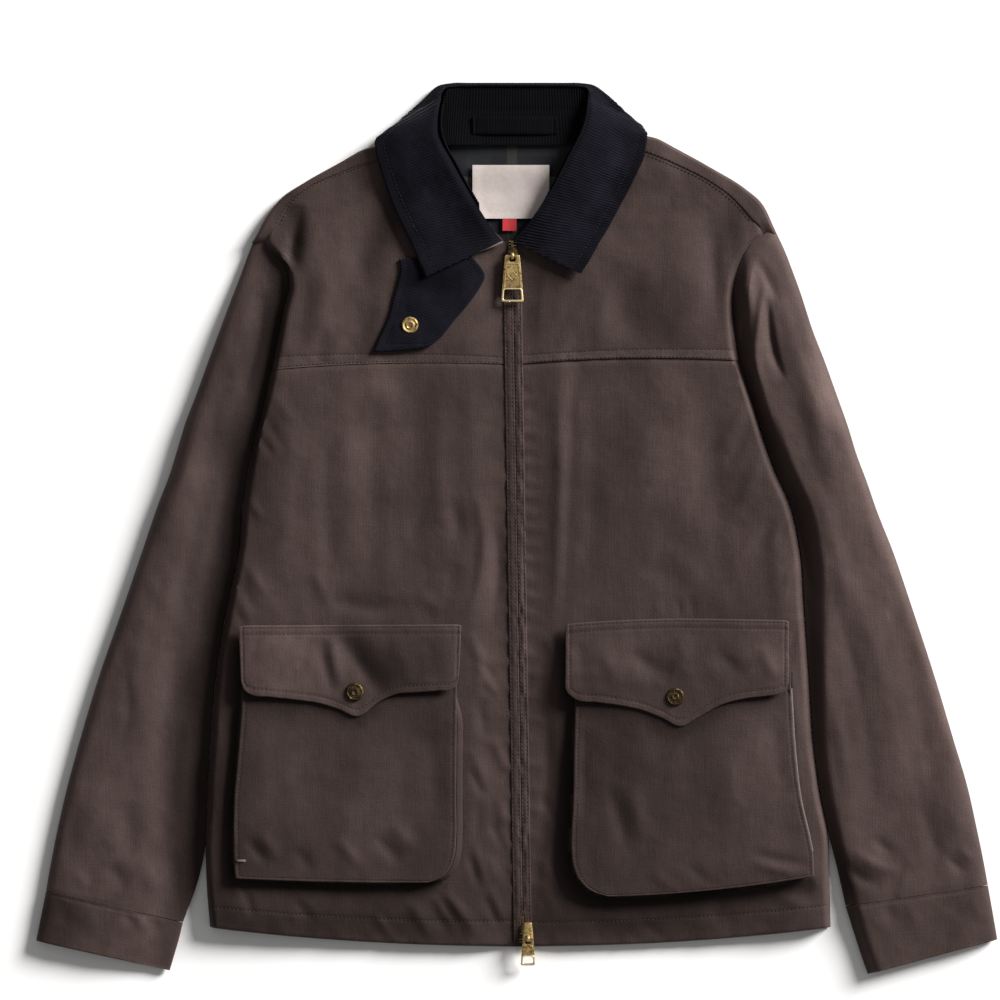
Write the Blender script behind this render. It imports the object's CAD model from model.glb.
"""The looks of a waxed cotton jacket that lies flat on its back, zipped up.

Tables and sizes are in millimetres in the model's own frame: +X to the wearer's left, +Y from hem to collar,
+Z up off the surface. MM turns them into metres.
"""

import math
from collections import namedtuple

import bmesh
import bpy
import numpy as np
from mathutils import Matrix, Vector


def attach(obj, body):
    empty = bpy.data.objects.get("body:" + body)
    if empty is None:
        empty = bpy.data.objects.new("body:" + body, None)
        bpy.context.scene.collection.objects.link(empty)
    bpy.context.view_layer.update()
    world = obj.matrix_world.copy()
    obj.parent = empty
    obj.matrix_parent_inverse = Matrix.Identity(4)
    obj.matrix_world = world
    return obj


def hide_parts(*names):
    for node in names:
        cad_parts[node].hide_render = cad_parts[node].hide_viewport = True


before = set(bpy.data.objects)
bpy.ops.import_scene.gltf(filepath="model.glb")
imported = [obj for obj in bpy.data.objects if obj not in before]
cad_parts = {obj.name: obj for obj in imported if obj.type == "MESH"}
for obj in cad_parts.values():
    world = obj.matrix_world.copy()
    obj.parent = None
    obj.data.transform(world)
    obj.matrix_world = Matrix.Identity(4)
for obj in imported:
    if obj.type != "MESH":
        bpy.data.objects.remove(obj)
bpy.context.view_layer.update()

MM = 0.001
GARMENT = "garment"
WALL = 1.5              # visible cloth walls
FOLDED = 1.9            # cloth doubled at flaps and cuffs
GRID = 3.2              # spacing of the points on the big panels

BODY_TOP = 8.2                  # the fronts' outer face above the surface
SIDE_SEAM = 3.6                 # the side seams above the surface
SIDE_ROUND = 5.5                # how far in the fronts' rounded sides reach
ARMHOLE_VALLEY = {"left": 6.0, "right": 5.2}    # the armhole seams above the surface
ARMHOLE_EASE = {"left": 4.5, "right": 3.0}      # how far in the fronts rise from those seams
ARMPIT = (80.0, 112.0)          # where the side seam turns into the armhole
CROWN = {"left": 5.2, "right": 8.0}             # how much fuller each front is towards its side seam
CROWN_ENDS = (215, 305)         # where that fullness fades out towards the shoulder
VALLEY_ENDS = (205, 262)        # where the armhole seam rises out of its valley
HEM_Y = -374.0
HEM_DROOP = 3.0                 # how far the cloth sinks towards the hem
HEM_DROOP_REACH = 34.0
NECK_LIFT = 2.8                 # how far the layers at the neck lift the cloth, and where
NECK_LIFT_Y = (300.0, 328.0)
NECK_LIFT_X = (152.0, 128.0)
FOLD_GAIN = 1.5                 # strength of the folds and of the small wrinkles
WRINKLE_GAIN = 1.2
SLEEVE_MID = 4.1                # a sleeve's outer edge above the surface

ZIP_SLANT = -0.0155             # how the zip's X changes along Y
ZIP_HALF = 8                    # from the zip to where its guards end
GUARD_LEFT = 7.6                # how far each zip guard reaches from the zip
GUARD_RIGHT = 8.9
GUARD_TOP = 9.3
GUARD_END_Y = 236.0
GUARD_LAP = 2.0                 # how far a front reaches under its zip guard
SPLIT = (-333.0, -374.0)        # where the guards part towards the hem, and by how much
SPLIT_WIDTH = 3.6

# Rows of stitching, as distances from the edge or the seam beside them.
GUARD_INNER_STITCH = 1.6
GUARD_OUTER_STITCH = 1.9
POCKET_STITCH = 3.4
FLAP_STITCH = 6.2
FLAP_SEAM_STITCHES = (2.2, 8.0)
STITCH_LIFT = 0.02              # how far a line of stitches lies above its cloth

Row = namedtuple("Row", "ax ay bx by bow", defaults=(0.0,))
Point = namedtuple("Point", "x y")
Fold = namedtuple("Fold", "path width depth lean", defaults=(0.0,))


def listed(kind, *items):
    """A list of one kind of named tuple, each item given by its values in order."""
    return [kind(*item) for item in items]

ARMHOLE = {
    "left": listed(Point, (221, 266), (210, 257), (200, 240), (194, 215), (194, 188), (199, 152),
        (206, 131), (214, 106)),
    "right": listed(Point, (-226, 258), (-217, 247), (-208, 236), (-205, 220), (-210, 196), (-220, 144),
        (-226, 118), (-232, 96)),
}
YOKE_POINT = 5
SIDE = {
    "left": listed(Point, (222, 80), (232, 52), (244, 25), (254, -20), (257.5, -70), (262, -130),
        (266, -190), (272, -235), (279.5, -272), (281, -315), (282, -357)),
    "right": listed(Point, (-236, 80), (-241, 56), (-246, 25), (-250, -20), (-260.5, -70), (-270, -130),
        (-275.5, -190), (-278.5, -243), (-280, -285), (-279, -320), (-276, -357)),
}
SLEEVE_OUTER = {
    "left": listed(Point, (231, 271), (240, 252), (247, 234), (255, 212), (265, 181), (277, 150),
        (287, 122), (297, 94), (305, 68), (314, 44), (323, 18), (338, -20), (355, -70), (374, -128),
        (392, -188), (405, -232), (413, -268), (419, -297), (423, -319)),
    "right": listed(Point, (-236, 261), (-242, 246), (-249, 227), (-256, 209), (-265, 185), (-279, 147),
        (-288, 122), (-298, 96), (-304, 76), (-312, 50), (-322, 24), (-337, -20), (-354, -70), (-375, -130),
        (-393, -190), (-407, -243), (-415.5, -282), (-420, -306), (-423, -324)),
}
SLEEVE_INNER_END = {
    "left": listed(Point, (288, -306), (295, -337.5)),
    "right": listed(Point, (-287, -317), (-300, -352.5)),
}
SIDE_POINTS_BY_SLEEVE = 9
CUFF = {
    "left": listed(Row, (295.1, -338.1, 423.1, -319.6), (301, -357, 426, -336), (308, -379, 429, -353),
        (315, -399, 431.5, -368)),
    "right": listed(Row, (-300.1, -353.1, -423.1, -324.6), (-303.5, -367, -426, -339),
        (-307.5, -381, -429, -354), (-312, -396, -432, -369)),
}
YOKE_INNER = {
    "left": listed(Point, (14, 267), (22, 272), (42, 296), (56, 318), (64, 330), (70, 338), (77, 343)),
    "right": listed(Point, (-19, 267), (-28, 272), (-48, 296), (-61, 318), (-68, 330), (-74, 338),
        (-80, 343)),
}
SHOULDER_SEAM = {
    "left": listed(Point, (211, 279), (196, 295.5), (171, 314), (140, 329), (122, 336.5), (108, 341)),
    "right": listed(Point, (-215, 274), (-205, 292), (-185, 309), (-153, 323), (-131, 331), (-114, 335)),
}
SHOULDER_FOLD = {
    "left": listed(Point, (230.5, 273), (222, 291), (205, 307), (174, 326), (142, 343.5), (124, 352.5),
        (112, 354.5), (86, 353)),
    "right": listed(Point, (-235.5, 263), (-227, 279), (-213, 297.5), (-192, 312), (-160, 330),
        (-137, 342.5), (-121, 346.5), (-89, 353)),
}
BACK_NECK_Y = 347.0

# Creases: soft ridges (positive depth) and troughs along a path, with the width of each.
BODY_FOLDS = listed(Fold, ([(-195, 292), (-199, 262), (-205, 230)], 6, -2.6),
    ([(36, 130), (39, 60), (37, -20), (34, -80)], 8, 1.2, 0.3),
    ([(48, 135), (47, 60), (44, -30), (43, -84)], 7, -1.1), ([(88, 140), (104, 95), (112, 40)], 15, 1.1),
    ([(66, 120), (68, 40), (62, -60)], 10, -0.7), ([(172, 100), (181, 20), (178, -60)], 14, -0.9),
    ([(150, 120), (152, 60), (143, -10)], 13, 0.8), ([(207, 112), (180, 70)], 6, 0.9),
    ([(212, 100), (188, 55)], 5, -0.8), ([(224, 74), (200, 22)], 6, 0.8),
    ([(240, 25), (214, -20)], 7, -0.7), ([(236, 20), (232, -30), (238, -75)], 9, 0.9),
    ([(144, -60), (147, -79)], 2.8, -0.5), ([(156, -58), (158, -79)], 3.0, -0.5),
    ([(128, -64), (126, -79)], 3.4, 0.4), ([(120, -26), (150, -52)], 12, -0.8),
    ([(228, -95), (250, -160), (252, -240)], 7, 0.6), ([(30, -110), (37, -160), (30, -230)], 7, 0.7),
    ([(22, -150), (28, -200), (22, -280)], 5, -0.7), ([(34, -262), (26, -312), (36, -352)], 6, 0.8),
    ([(60, -342), (90, -350), (140, -345)], 7, 0.8), ([(170, -340), (200, -352)], 8, -0.7),
    ([(230, -325), (262, -340)], 6, 0.8), ([(-38, 35), (-30, -1), (-31, -31), (-42, -76)], 6.5, 1.5, 0.2),
    ([(-58, 28), (-50, -8)], 8, -1.2), ([(-57, -28), (-60, -60)], 8, -0.9),
    ([(-20, 10), (-17, -40), (-24, -90)], 5, -0.7), ([(-116, 130), (-108, 92)], 17, 1.1),
    ([(-150, 120), (-153, 40), (-148, -30)], 12, 0.8), ([(-170, 110), (-172, 20), (-168, -45)], 10, -0.8),
    ([(-198, 105), (-206, 25), (-214, -60)], 11, 0.7), ([(-128, 100), (-130, 30), (-122, -20)], 9, -0.6),
    ([(-88, 120), (-92, 40), (-84, -40)], 12, -0.7), ([(-70, 125), (-72, 60), (-68, 0)], 9, 0.6),
    ([(-168, -62), (-134, -70), (-98, -68)], 8, -1.4), ([(-182, -36), (-170, -66)], 6, 0.9),
    ([(-90, -58), (-66, -72)], 7, 0.8), ([(-246, -26), (-226, -58)], 4.5, 0.7),
    ([(-252, -42), (-234, -74)], 4.0, -0.6), ([(-224, 128), (-200, 96)], 6, 0.7),
    ([(-230, 108), (-208, 70)], 5, -0.6), ([(-44, -92), (-32, -120), (-38, -150)], 5, 1.0),
    ([(-34, -152), (-30, -186)], 5, -1.0), ([(-22, -186), (-10, -216)], 4.5, 0.9),
    ([(-40, -196), (-28, -232)], 5, 0.8), ([(-16, -240), (-12, -268)], 4.5, 0.9),
    ([(-34, -244), (-38, -280)], 5, -0.8), ([(-30, -290), (-14, -318)], 5, 0.7),
    ([(-96, -334), (-76, -366)], 5, 0.9), ([(-80, -332), (-62, -362)], 4.5, -0.8),
    ([(-56, -330), (-36, -366)], 5, 0.8), ([(-150, -330), (-180, -352)], 8, 0.6),
    ([(-236, -322), (-262, -342)], 6, 0.6), ([(-262, -180), (-266, -240), (-268, -300)], 5, 0.7),
    ([(-170, 150), (-156, 172)], 5, 0.8), ([(-182, 152), (-172, 180)], 5, -0.7),
    ([(-196, 160), (-190, 205), (-186, 245)], 9, -0.9), ([(-176, 170), (-172, 220), (-165, 262)], 10, 0.8),
    ([(-146, 180), (-140, 240), (-146, 300)], 12, -0.7), ([(-64, 160), (-30, 182), (-22, 215)], 8, 0.7),
    ([(110, 164), (95, 205), (96, 240)], 14, -1.0), ([(148, 166), (152, 225), (140, 285)], 18, 1.1),
    ([(172, 292), (177, 240), (181, 188)], 9, -1.1), ([(186, 270), (186, 226), (188, 190)], 6, 0.9),
    ([(30, 160), (44, 195), (62, 222)], 10, -0.9), ([(72, 162), (76, 196), (84, 220)], 10, 0.9),
    ([(20, 168), (22, 200), (26, 232)], 6, 0.6), ([(-205, 292), (-203, 262), (-199, 222)], 8, -1.3),
    ([(-44, -290), (-34, -322)], 2.6, -0.9), ([(-38, -284), (-27, -318)], 2.8, 0.8),
    ([(-72, -326), (-54, -352)], 2.4, -0.8), ([(-64, -324), (-47, -350)], 2.6, 0.8),
    ([(-30, -328), (-16, -358)], 2.6, -0.8), ([(-24, -322), (-12, -350)], 2.6, 0.7),
    ([(-42, -214), (-30, -240)], 2.8, -0.8), ([(-24, -262), (-13, -286)], 2.6, -0.8),
    ([(-30, -132), (-16, -150)], 2.8, 0.8), ([(-34, -118), (-20, -132)], 2.8, -0.7),
    ([(24, -96), (40, -118)], 3.0, 0.6), ([(20, -236), (36, -262)], 3.0, -0.7),
    ([(26, -300), (42, -330)], 3.2, 0.8), ([(110, -352), (132, -366)], 4, -0.6),
    ([(-128, -344), (-112, -366)], 3.0, 0.7), ([(-200, -330), (-184, -352)], 4, -0.7),
    ([(-246, -316), (-236, -350)], 3.4, -0.8), ([(-262, -290), (-250, -330)], 3.6, 0.7),
    ([(232, 58), (222, 40)], 3.0, 0.8), ([(246, 8), (232, -12)], 3.0, -0.8),
    ([(252, -30), (240, -48)], 3.2, 0.8), ([(254, -84), (244, -110)], 3.4, -0.7),
    ([(-232, 84), (-218, 66)], 3.2, -0.8), ([(-243, 30), (-228, 10)], 3.4, 0.8),
    ([(-254, -66), (-244, -88)], 3.4, -0.7))
# Small puckers run out from the zip: height above the hem line, length and depth on each front.
ZIP_PUCKERS = {
    "left": [(131, 14, 0.4), (118, 20, 0.6), (101, 16, 0.5), (88, 24, 0.7), (73, 18, 0.6), (61, 26, 0.8),
             (44, 20, 0.6), (31, 24, 0.8), (16, 18, 0.7), (2, 26, 0.8), (-13, 20, 0.6), (-27, 24, 0.8),
             (-44, 18, 0.6), (-60, 22, 0.7), (-75, 16, 0.6), (-92, 22, 0.6), (-112, 18, 0.6),
             (-128, 22, 0.7), (-149, 18, 0.6), (-170, 22, 0.7), (-188, 16, 0.5), (-210, 20, 0.6),
             (-232, 18, 0.6), (-251, 22, 0.7), (-274, 18, 0.6), (-296, 20, 0.7), (-318, 18, 0.6)],
    "right": [(122, 12, 0.4), (96, 14, 0.4), (70, 16, 0.5), (47, 14, 0.5), (21, 18, 0.6), (-2, 14, 0.5),
              (-24, 18, 0.6), (-50, 14, 0.5), (-71, 18, 0.5), (-98, 16, 0.6), (-118, 20, 0.7),
              (-141, 16, 0.6), (-166, 20, 0.7), (-190, 16, 0.6), (-213, 20, 0.7), (-238, 16, 0.6),
              (-259, 20, 0.7), (-283, 16, 0.6), (-304, 18, 0.6), (-322, 16, 0.6)],
}
SLEEVE_FOLDS = {
    "left": listed(Fold, ([(207, 254), (206, 220), (209, 190)], 5, 1.9, 0.2),
        ([(203, 216), (204, 172), (210, 132), (222, 92)], 5, -2.6, -0.2),
        ([(222, 222), (217, 190), (213, 160), (217, 128)], 4.5, 1.8, 0.2),
        ([(224, 208), (227, 180), (232, 154), (240, 134)], 4.2, -2.3, -0.3),
        ([(236, 212), (246, 176), (256, 140)], 8, 0.8), ([(252, 160), (266, 118), (280, 84)], 11, 1.5),
        ([(212, 246), (222, 232), (234, 206)], 4.5, -0.9), ([(272, 156), (288, 112), (300, 70)], 14, 1.3),
        ([(250, 120), (262, 74), (280, 26)], 10, -1.1), ([(236, 60), (256, 10), (268, -60)], 7, -1.4),
        ([(268, 40), (284, -10), (296, -70)], 8, 0.8), ([(300, -40), (330, -140), (350, -250)], 9, 0.7),
        ([(284, -60), (308, -150), (322, -250)], 8, -0.8),
        ([(330, -60), (356, -140), (372, -230)], 9, -0.7),
        ([(276, -130), (292, -200), (300, -262)], 7, 0.8), ([(380, -210), (402, -288)], 14, 1.2),
        ([(362, -240), (378, -296)], 8, -0.8), ([(292, -296), (306, -312), (326, -318)], 5, -1.7),
        ([(300, -286), (322, -302), (344, -306)], 5.5, 1.3), ([(318, -276), (338, -292)], 5, -1.0),
        ([(386, -294), (402, -308)], 4, -1.0), ([(396, -286), (412, -298)], 4, 0.9),
        ([(340, -330), (352, -308)], 4, 0.7), ([(308, 28), (330, -30)], 8, 0.6)),
    "right": listed(Fold, ([(-236, 232), (-244, 190), (-262, 140)], 10, 0.9),
        ([(-226, 214), (-232, 170), (-246, 120)], 6, -1.3),
        ([(-256, 160), (-270, 104), (-284, 50)], 9, -0.9),
        ([(-282, 112), (-300, 50), (-318, -10)], 14, 1.1), ([(-262, 60), (-280, -10), (-296, -80)], 8, 0.6),
        ([(-300, 10), (-318, -50), (-330, -110)], 8, -0.6),
        ([(-314, -30), (-342, -120), (-362, -220)], 18, 1.0),
        ([(-356, -106), (-348, -160), (-356, -200)], 6, -0.8),
        ([(-300, -90), (-316, -170), (-322, -250)], 10, -0.7),
        ([(-292, -150), (-300, -220), (-304, -290)], 8, 0.7), ([(-380, -226), (-376, -284)], 15, 1.1),
        ([(-398, -244), (-404, -296)], 7, -0.7), ([(-350, -246), (-344, -296)], 9, -0.8),
        ([(-368, -300), (-350, -320)], 7, -1.0), ([(-336, -296), (-322, -330)], 7, 0.9),
        ([(-310, -290), (-306, -336)], 6, -0.8), ([(-396, -306), (-386, -322)], 5, 0.6)),
}
CUFF_FOLDS = {
    "left": listed(Fold, ([(330, -336), (338, -352)], 5, -0.7), ([(352, -334), (360, -362)], 6, 0.5),
        ([(392, -330), (398, -352)], 6, -0.5), ([(408, -328), (414, -350)], 5, 0.5)),
    "right": listed(Fold, ([(-352, -344), (-344, -356)], 4, -0.8), ([(-340, -346), (-334, -360)], 4, 0.7),
        ([(-328, -350), (-322, -364)], 4, -0.7), ([(-380, -338), (-386, -364)], 8, 0.5),
        ([(-404, -334), (-408, -356)], 7, -0.5)),
}

POCKET = {
    "left": listed(Row, (52, -102, 243, -100), (52, -150, 246, -142), (51, -200, 249, -193),
        (50, -247, 254.5, -241), (48.5, -285, 262.5, -276), (50, -300, 265, -288, -1),
        (54.5, -312, 265.6, -296, -3.5), (65, -322.5, 265.8, -303, -4.5), (82, -328.5, 266, -310, -3.5)),
    "right": listed(Row, (-54, -102, -246, -100), (-54, -150, -246.5, -149), (-54.3, -200, -250, -200),
        (-54.5, -245, -253.5, -243), (-54.5, -276, -254, -276), (-56, -292, -253.8, -290),
        (-60, -303, -253.4, -299), (-67, -311, -253, -306, -0.5), (-80, -316, -252, -312, -1.5)),
}
POCKET_RISE = {"left": (6.0, 11.5), "right": (6.0, 9.0)}       # at the mouth and at the bottom
POCKET_CROWN = 1.8
FLAP = {
    "left": listed(Row, (43.5, -86, 43, -141), (45, -84.6, 45, -145.5), (51, -83.7, 51, -151),
        (72, -82, 72, -154.5), (94, -80.8, 94, -157.5), (112, -80, 112, -161.5), (130, -79.5, 130, -168.5),
        (146.5, -79.2, 146.5, -176), (162, -79.4, 162, -168), (182, -79.6, 182, -157),
        (204, -80, 204, -151), (222, -80.3, 222, -148.8), (234, -80.5, 234, -147),
        (241, -81, 240.5, -143.5), (243.8, -82.5, 243.2, -137)),
    "right": listed(Row, (-50, -86, -52, -130), (-52, -84.8, -53.5, -137), (-57, -84.6, -57.5, -142),
        (-72, -84.7, -72, -144), (-90, -84.8, -90, -145.5), (-108, -84.8, -108, -147),
        (-124, -84.9, -124, -154), (-143, -85, -143, -167), (-160, -85.1, -160, -160.5),
        (-176, -85.2, -176, -155.5), (-200, -85.3, -200, -151.8), (-222, -85.4, -222, -149.4),
        (-238, -85.4, -238, -147.5), (-246, -85.8, -244.5, -143), (-249.6, -87, -247.4, -134)),
}
FLAP_START = 6.6
FLAP_RISE = 11.0
FLAP_RISE_REACH = 62.0
FLAP_FOLDS = {
    "left": listed(Fold, ([(102, -108), (122, -124), (140, -128)], 9, -1.6),
        ([(174, -106), (204, -132)], 9, -1.6), ([(218, -104), (232, -134)], 7, 1.1),
        ([(72, -96), (92, -142)], 9, 1.0), ([(148, -92), (150, -134)], 9, 0.9),
        ([(56, -100), (60, -140)], 6, -0.6)),
    "right": listed(Fold, ([(-156, -96), (-140, -122), (-118, -148)], 9, -2.0, 0.3),
        ([(-168, -86), (-160, -140)], 6, 1.5), ([(-177, -98), (-166, -146)], 5, -1.0),
        ([(-232, -102), (-192, -112)], 15, 1.2), ([(-110, -92), (-96, -140)], 10, 1.0),
        ([(-78, -96), (-72, -138)], 9, -0.7), ([(-196, -126), (-214, -144)], 6, -0.6)),
}
BAG_FOLDS = {
    "left": listed(Fold, ([(84, -232), (101, -292)], 7, -1.0), ([(98, -226), (116, -280)], 8, 0.8),
        ([(112, -178), (142, -196)], 12, -0.8), ([(208, -290), (262, -300)], 4, -0.9),
        ([(214, -300), (250, -308)], 4, 0.8), ([(180, -180), (196, -260)], 16, 0.9),
        ([(60, -170), (58, -260)], 7, -0.8), ([(150, -300), (176, -318)], 5, -0.7),
        ([(120, -306), (140, -322)], 5, 0.6), ([(228, -170), (240, -240)], 8, -0.6)),
    "right": listed(Fold, ([(-242, -276), (-226, -298)], 4.5, -1.2), ([(-230, -270), (-214, -296)], 5, 0.9),
        ([(-162, -276), (-140, -302)], 5, 0.9), ([(-126, -274), (-104, -300)], 5, -1.0),
        ([(-112, -264), (-92, -290)], 6, 0.9), ([(-200, -284), (-184, -306)], 5, -0.7),
        ([(-150, -180), (-126, -240)], 18, 1.0), ([(-226, -170), (-230, -250)], 9, 0.6),
        ([(-78, -180), (-72, -270)], 9, -0.8), ([(-190, -170), (-196, -250)], 12, -0.6)),
}
BAR_TACK_X = (-252, -242)
BAR_TACK_Y = -296.0
SNAP_AT = {"left": Point(141.6, -149.4), "right": Point(-145.5, -145.0)}
THROAT_TAB = listed(Row, (-106, 243, -44, 250), (-105, 232, -29, 229), (-108, 219, -33, 218),
    (-110.5, 210, -41, 206), (-115, 192, -56, 188), (-121, 178, -68, 173), (-129, 160, -78, 165, -1.5))
THROAT_SNAP_AT = Point(-96, 184)

# The collar's fall along its wales: the roll line, the edge, and where it ends underneath at the back.
Fall = namedtuple("Fall", "rx ry rz ex ey ux uy", defaults=(None, None))
FALL = {
    "left": listed(Fall, (-3.6, 259.5, 12.6, 57, 230), (2, 265.5, 14.2, 66, 244), (8, 272, 15.8, 74, 258.5),
        (16, 282, 17.6, 82, 271.5), (27, 299, 19.4, 91, 288.5), (37, 317, 20.6, 100, 305),
        (46, 335, 21.5, 108, 321.5), (53, 348, 21.7, 113.5, 334), (58, 358.5, 21.2, 115.6, 344.5),
        (61, 367.5, 19.8, 116.3, 354), (62.5, 376, 18.0, 113.5, 362, 112, 349),
        (63.5, 384, 15.0, 105, 369.5, 105, 341), (64, 390, 12.2, 94, 379.5, 94, 338),
        (63.4, 395, 9.6, 81, 391.5, 82, 337), (61, 398, 7.6, 69.5, 399.8, 72, 337),
        (54, 398.6, 6.6, 58, 402, 58, 337), (40, 398.8, 6.2, 40, 402, 40, 337),
        (0, 398.8, 6.0, 0, 402, 0, 337)),
    "right": listed(Fall, (-13.6, 259.5, 13.2, -82, 227), (-17, 263.5, 14.2, -87.5, 240),
        (-23, 271, 16.4, -93, 253.5), (-31, 283.5, 18.8, -100, 267.5), (-40, 298, 20.4, -107, 282.5),
        (-50, 315, 21.4, -114, 299.5), (-59, 331.5, 22.0, -120, 316.5), (-67, 345.5, 22.2, -124.4, 331),
        (-70.6, 354.5, 21.8, -126.6, 341), (-71.4, 363, 20.4, -127, 349.5),
        (-70.8, 372, 18.5, -122, 355.5, -120, 344), (-69.6, 381, 15.6, -112, 363, -112, 340),
        (-68.6, 388, 12.6, -99, 374, -98, 338), (-67, 394, 9.8, -84, 387.5, -84, 337),
        (-63.5, 397.6, 7.8, -72, 399, -73, 337), (-55, 398.6, 6.6, -59, 402, -60, 337),
        (-40, 398.8, 6.2, -40, 402, -40, 337), (0, 398.8, 6.0, 0, 402, 0, 337)),
}
FALL_FOLDED_FROM = 10
WALE = 2.5
WALE_HEIGHT = 0.62
LEAF_WALE_CENTRE = {"left": Point(396, 204), "right": Point(-405, 196)}
LEAF_CLEAR = 5.6        # a leaf's edge above the yoke

# The stand along its wales: its top edge, and its seam.
Stand = namedtuple("Stand", "tx ty tz lx ly lz")
STAND = listed(Stand, (-34, 293, 14.6, -33, 281, 9.8), (-45, 312, 15.6, -46.5, 297.5, 10.2),
    (-55, 331, 16.0, -59.3, 318, 11.0), (-63, 345, 16.2, -66.3, 330, 11.6),
    (-67.5, 360, 16.0, -71, 337, 12.0), (-67.5, 372, 13.5, -73, 341.5, 12.2),
    (-66, 384, 9.0, -70, 344.5, 11.8), (-62.5, 395.5, 5.8, -64, 345.5, 11.2),
    (-52, 399.2, 4.6, -56, 346, 10.8), (-30, 399.6, 4.3, -32, 346, 10.2), (0, 399.7, 4.2, 0, 346, 10.0),
    (30, 399.6, 4.3, 32, 346, 10.2), (50, 399.2, 4.6, 54, 346, 10.8), (58.5, 395.5, 5.8, 60, 345.5, 11.2),
    (60.8, 384, 9.0, 66, 344.5, 11.8), (60.8, 374, 13.0, 68.5, 341.5, 12.2),
    (58, 362, 15.4, 66.8, 336, 12.0), (52.5, 349, 15.8, 62, 329.5, 11.6), (44, 335, 15.6, 54, 317.5, 11.0),
    (34, 315, 15.0, 41, 296.5, 10.2), (22, 292, 13.8, 27, 279.5, 9.8), (13, 279, 12.4, 19, 272, 9.6))
LINING_TOP = 3.7
LINING_ROWS = listed(Row, (-58, 228, 52, 228), (-60, 262, 54, 262), (-62, 290, 56, 290),
    (-63, 310, 57, 310), (-63, 326, 57, 326), (-63, 347, 57, 347))
LABEL_ROWS = listed(Row, (-31.4, 280, 20.4, 280), (-40, 294.6, 29, 294.6), (-40, 328, 29, 328))
SIZE_TAB_ROWS = listed(Row, (-13, 269, -0.5, 269), (-13, 279.7, -0.5, 279.7))
LOOP_Y = (355.5, 371.5)
LOOP_X = (-40.0, 36.0)
LOOP_TOP = 11.4
LOOP_SLOPE = 0.085

TOP_HINGE = Vector((-4.2, 246.0, 13.6))
BOTTOM_HINGE = Vector((9.8, -366.5, 13.2))
BOTTOM_TILT = math.radians(11)
CROWN_BORE = 1.9
CROWN_REACH = 2.5
CROWN_FOOT_DEPTH = 1.2
CROWN_STEPS = 14
CROWN_SIDES = 12


# ---------------------------------------------------------------- numbers

def ramp(value, start, end):
    """From 0 at start to 1 at end, easing in and out; start may be above end."""
    t = np.clip((np.asarray(value, float) - start) / (end - start), 0, 1)
    return t * t * (3 - 2 * t)


def rounded(distance, radius):
    """A quarter circle's rise from 0 at the edge to 1 at the radius."""
    t = np.clip(np.asarray(distance, float) / radius, 0, 1)
    return np.sqrt(1 - (1 - t) ** 2)


def eased(distance, reach):
    """A rise from 0 at the edge that levels off at 1 by the reach."""
    return np.sin(np.pi / 2 * np.clip(np.asarray(distance, float) / reach, 0, 1))


def hermite(t, values, at):
    """Smooth curve through values at t, read at the places in at."""
    slopes = np.gradient(values, t, axis=0)
    k = np.clip(np.searchsorted(t, at, side="right") - 1, 0, len(t) - 2)
    h = (t[k + 1] - t[k])[:, None]
    s = ((at - t[k])[:, None]) / h
    return ((2 * s**3 - 3 * s**2 + 1) * values[k] + (s**3 - 2 * s**2 + s) * h * slopes[k]
            + (3 * s**2 - 2 * s**3) * values[k + 1] + (s**3 - s**2) * h * slopes[k + 1])


def chords(points):
    """The distance along a line of points to each one."""
    steps = np.linalg.norm(np.diff(points, axis=0), axis=1)
    return np.concatenate([[0], np.cumsum(steps)])


def smooth_line(points, step):
    points = np.asarray(points, float)
    t = chords(points[:, :2])
    return hermite(t, points, np.linspace(0, t[-1], max(3, int(t[-1] / step) + 1)))


def places(length, first, last, step):
    """Distances along length: first from its start, last back from its end, and even ones between.

    A step below nothing asks for that many steps instead.
    """
    start = np.array(first, float)
    from_end = np.array(last, float)[::-1]
    end = length - from_end
    reach = start[-1] + last[-1]
    if reach > 0.8 * length:
        start = start * 0.8 * length / reach
        end = length - from_end * 0.8 * length / reach
    count = max(1, int(round((end[0] - start[-1]) / step))) if step > 0 else int(-step)
    middle = np.linspace(start[-1], end[0], count + 2)[1:-1]
    return np.concatenate([start, middle, end])


RANDOM = np.random.default_rng(7).random((64, 64))


def speckle(x, y, size):
    """Smooth noise from -1 to 1 with bumps about size across."""
    u, v = np.asarray(x, float) / size, np.asarray(y, float) / size
    i, j = np.floor(u).astype(int), np.floor(v).astype(int)
    f, g = u - i, v - j
    f, g = f * f * (3 - 2 * f), g * g * (3 - 2 * g)
    low = RANDOM[i % 64, j % 64] * (1 - f) + RANDOM[(i + 1) % 64, j % 64] * f
    high = RANDOM[i % 64, (j + 1) % 64] * (1 - f) + RANDOM[(i + 1) % 64, (j + 1) % 64] * f
    return 2 * (low * (1 - g) + high * g) - 1


def crease(x, y, fold):
    """Height of one fold at each point: a soft ridge that fades out at both ends of its path."""
    path = smooth_line(fold.path, 12.0)
    t = chords(path)
    best = np.full(np.shape(x), 1e9)
    side = np.zeros(np.shape(x))
    along = np.zeros(np.shape(x))
    for k, (here, after) in enumerate(zip(path[:-1], path[1:])):
        d = after - here
        length = np.linalg.norm(d)
        dx, dy = x - here[0], y - here[1]
        s = np.clip((dx * d[0] + dy * d[1]) / length**2, 0, 1)
        px, py = dx - s * d[0], dy - s * d[1]
        distance = np.hypot(px, py)
        nearer = distance < best
        best = np.where(nearer, distance, best)
        side = np.where(nearer, np.sign(d[0] * py - d[1] * px), side)
        along = np.where(nearer, (t[k] + s * length) / t[-1], along)
    width = fold.width * (1 + fold.lean * side)
    return fold.depth * np.sin(np.pi * along) ** 0.7 * np.exp(-(best / width) ** 1.8)


def creases(x, y, folds):
    total = np.zeros(np.shape(x))
    for fold in folds:
        total += crease(x, y, fold)
    return total


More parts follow.
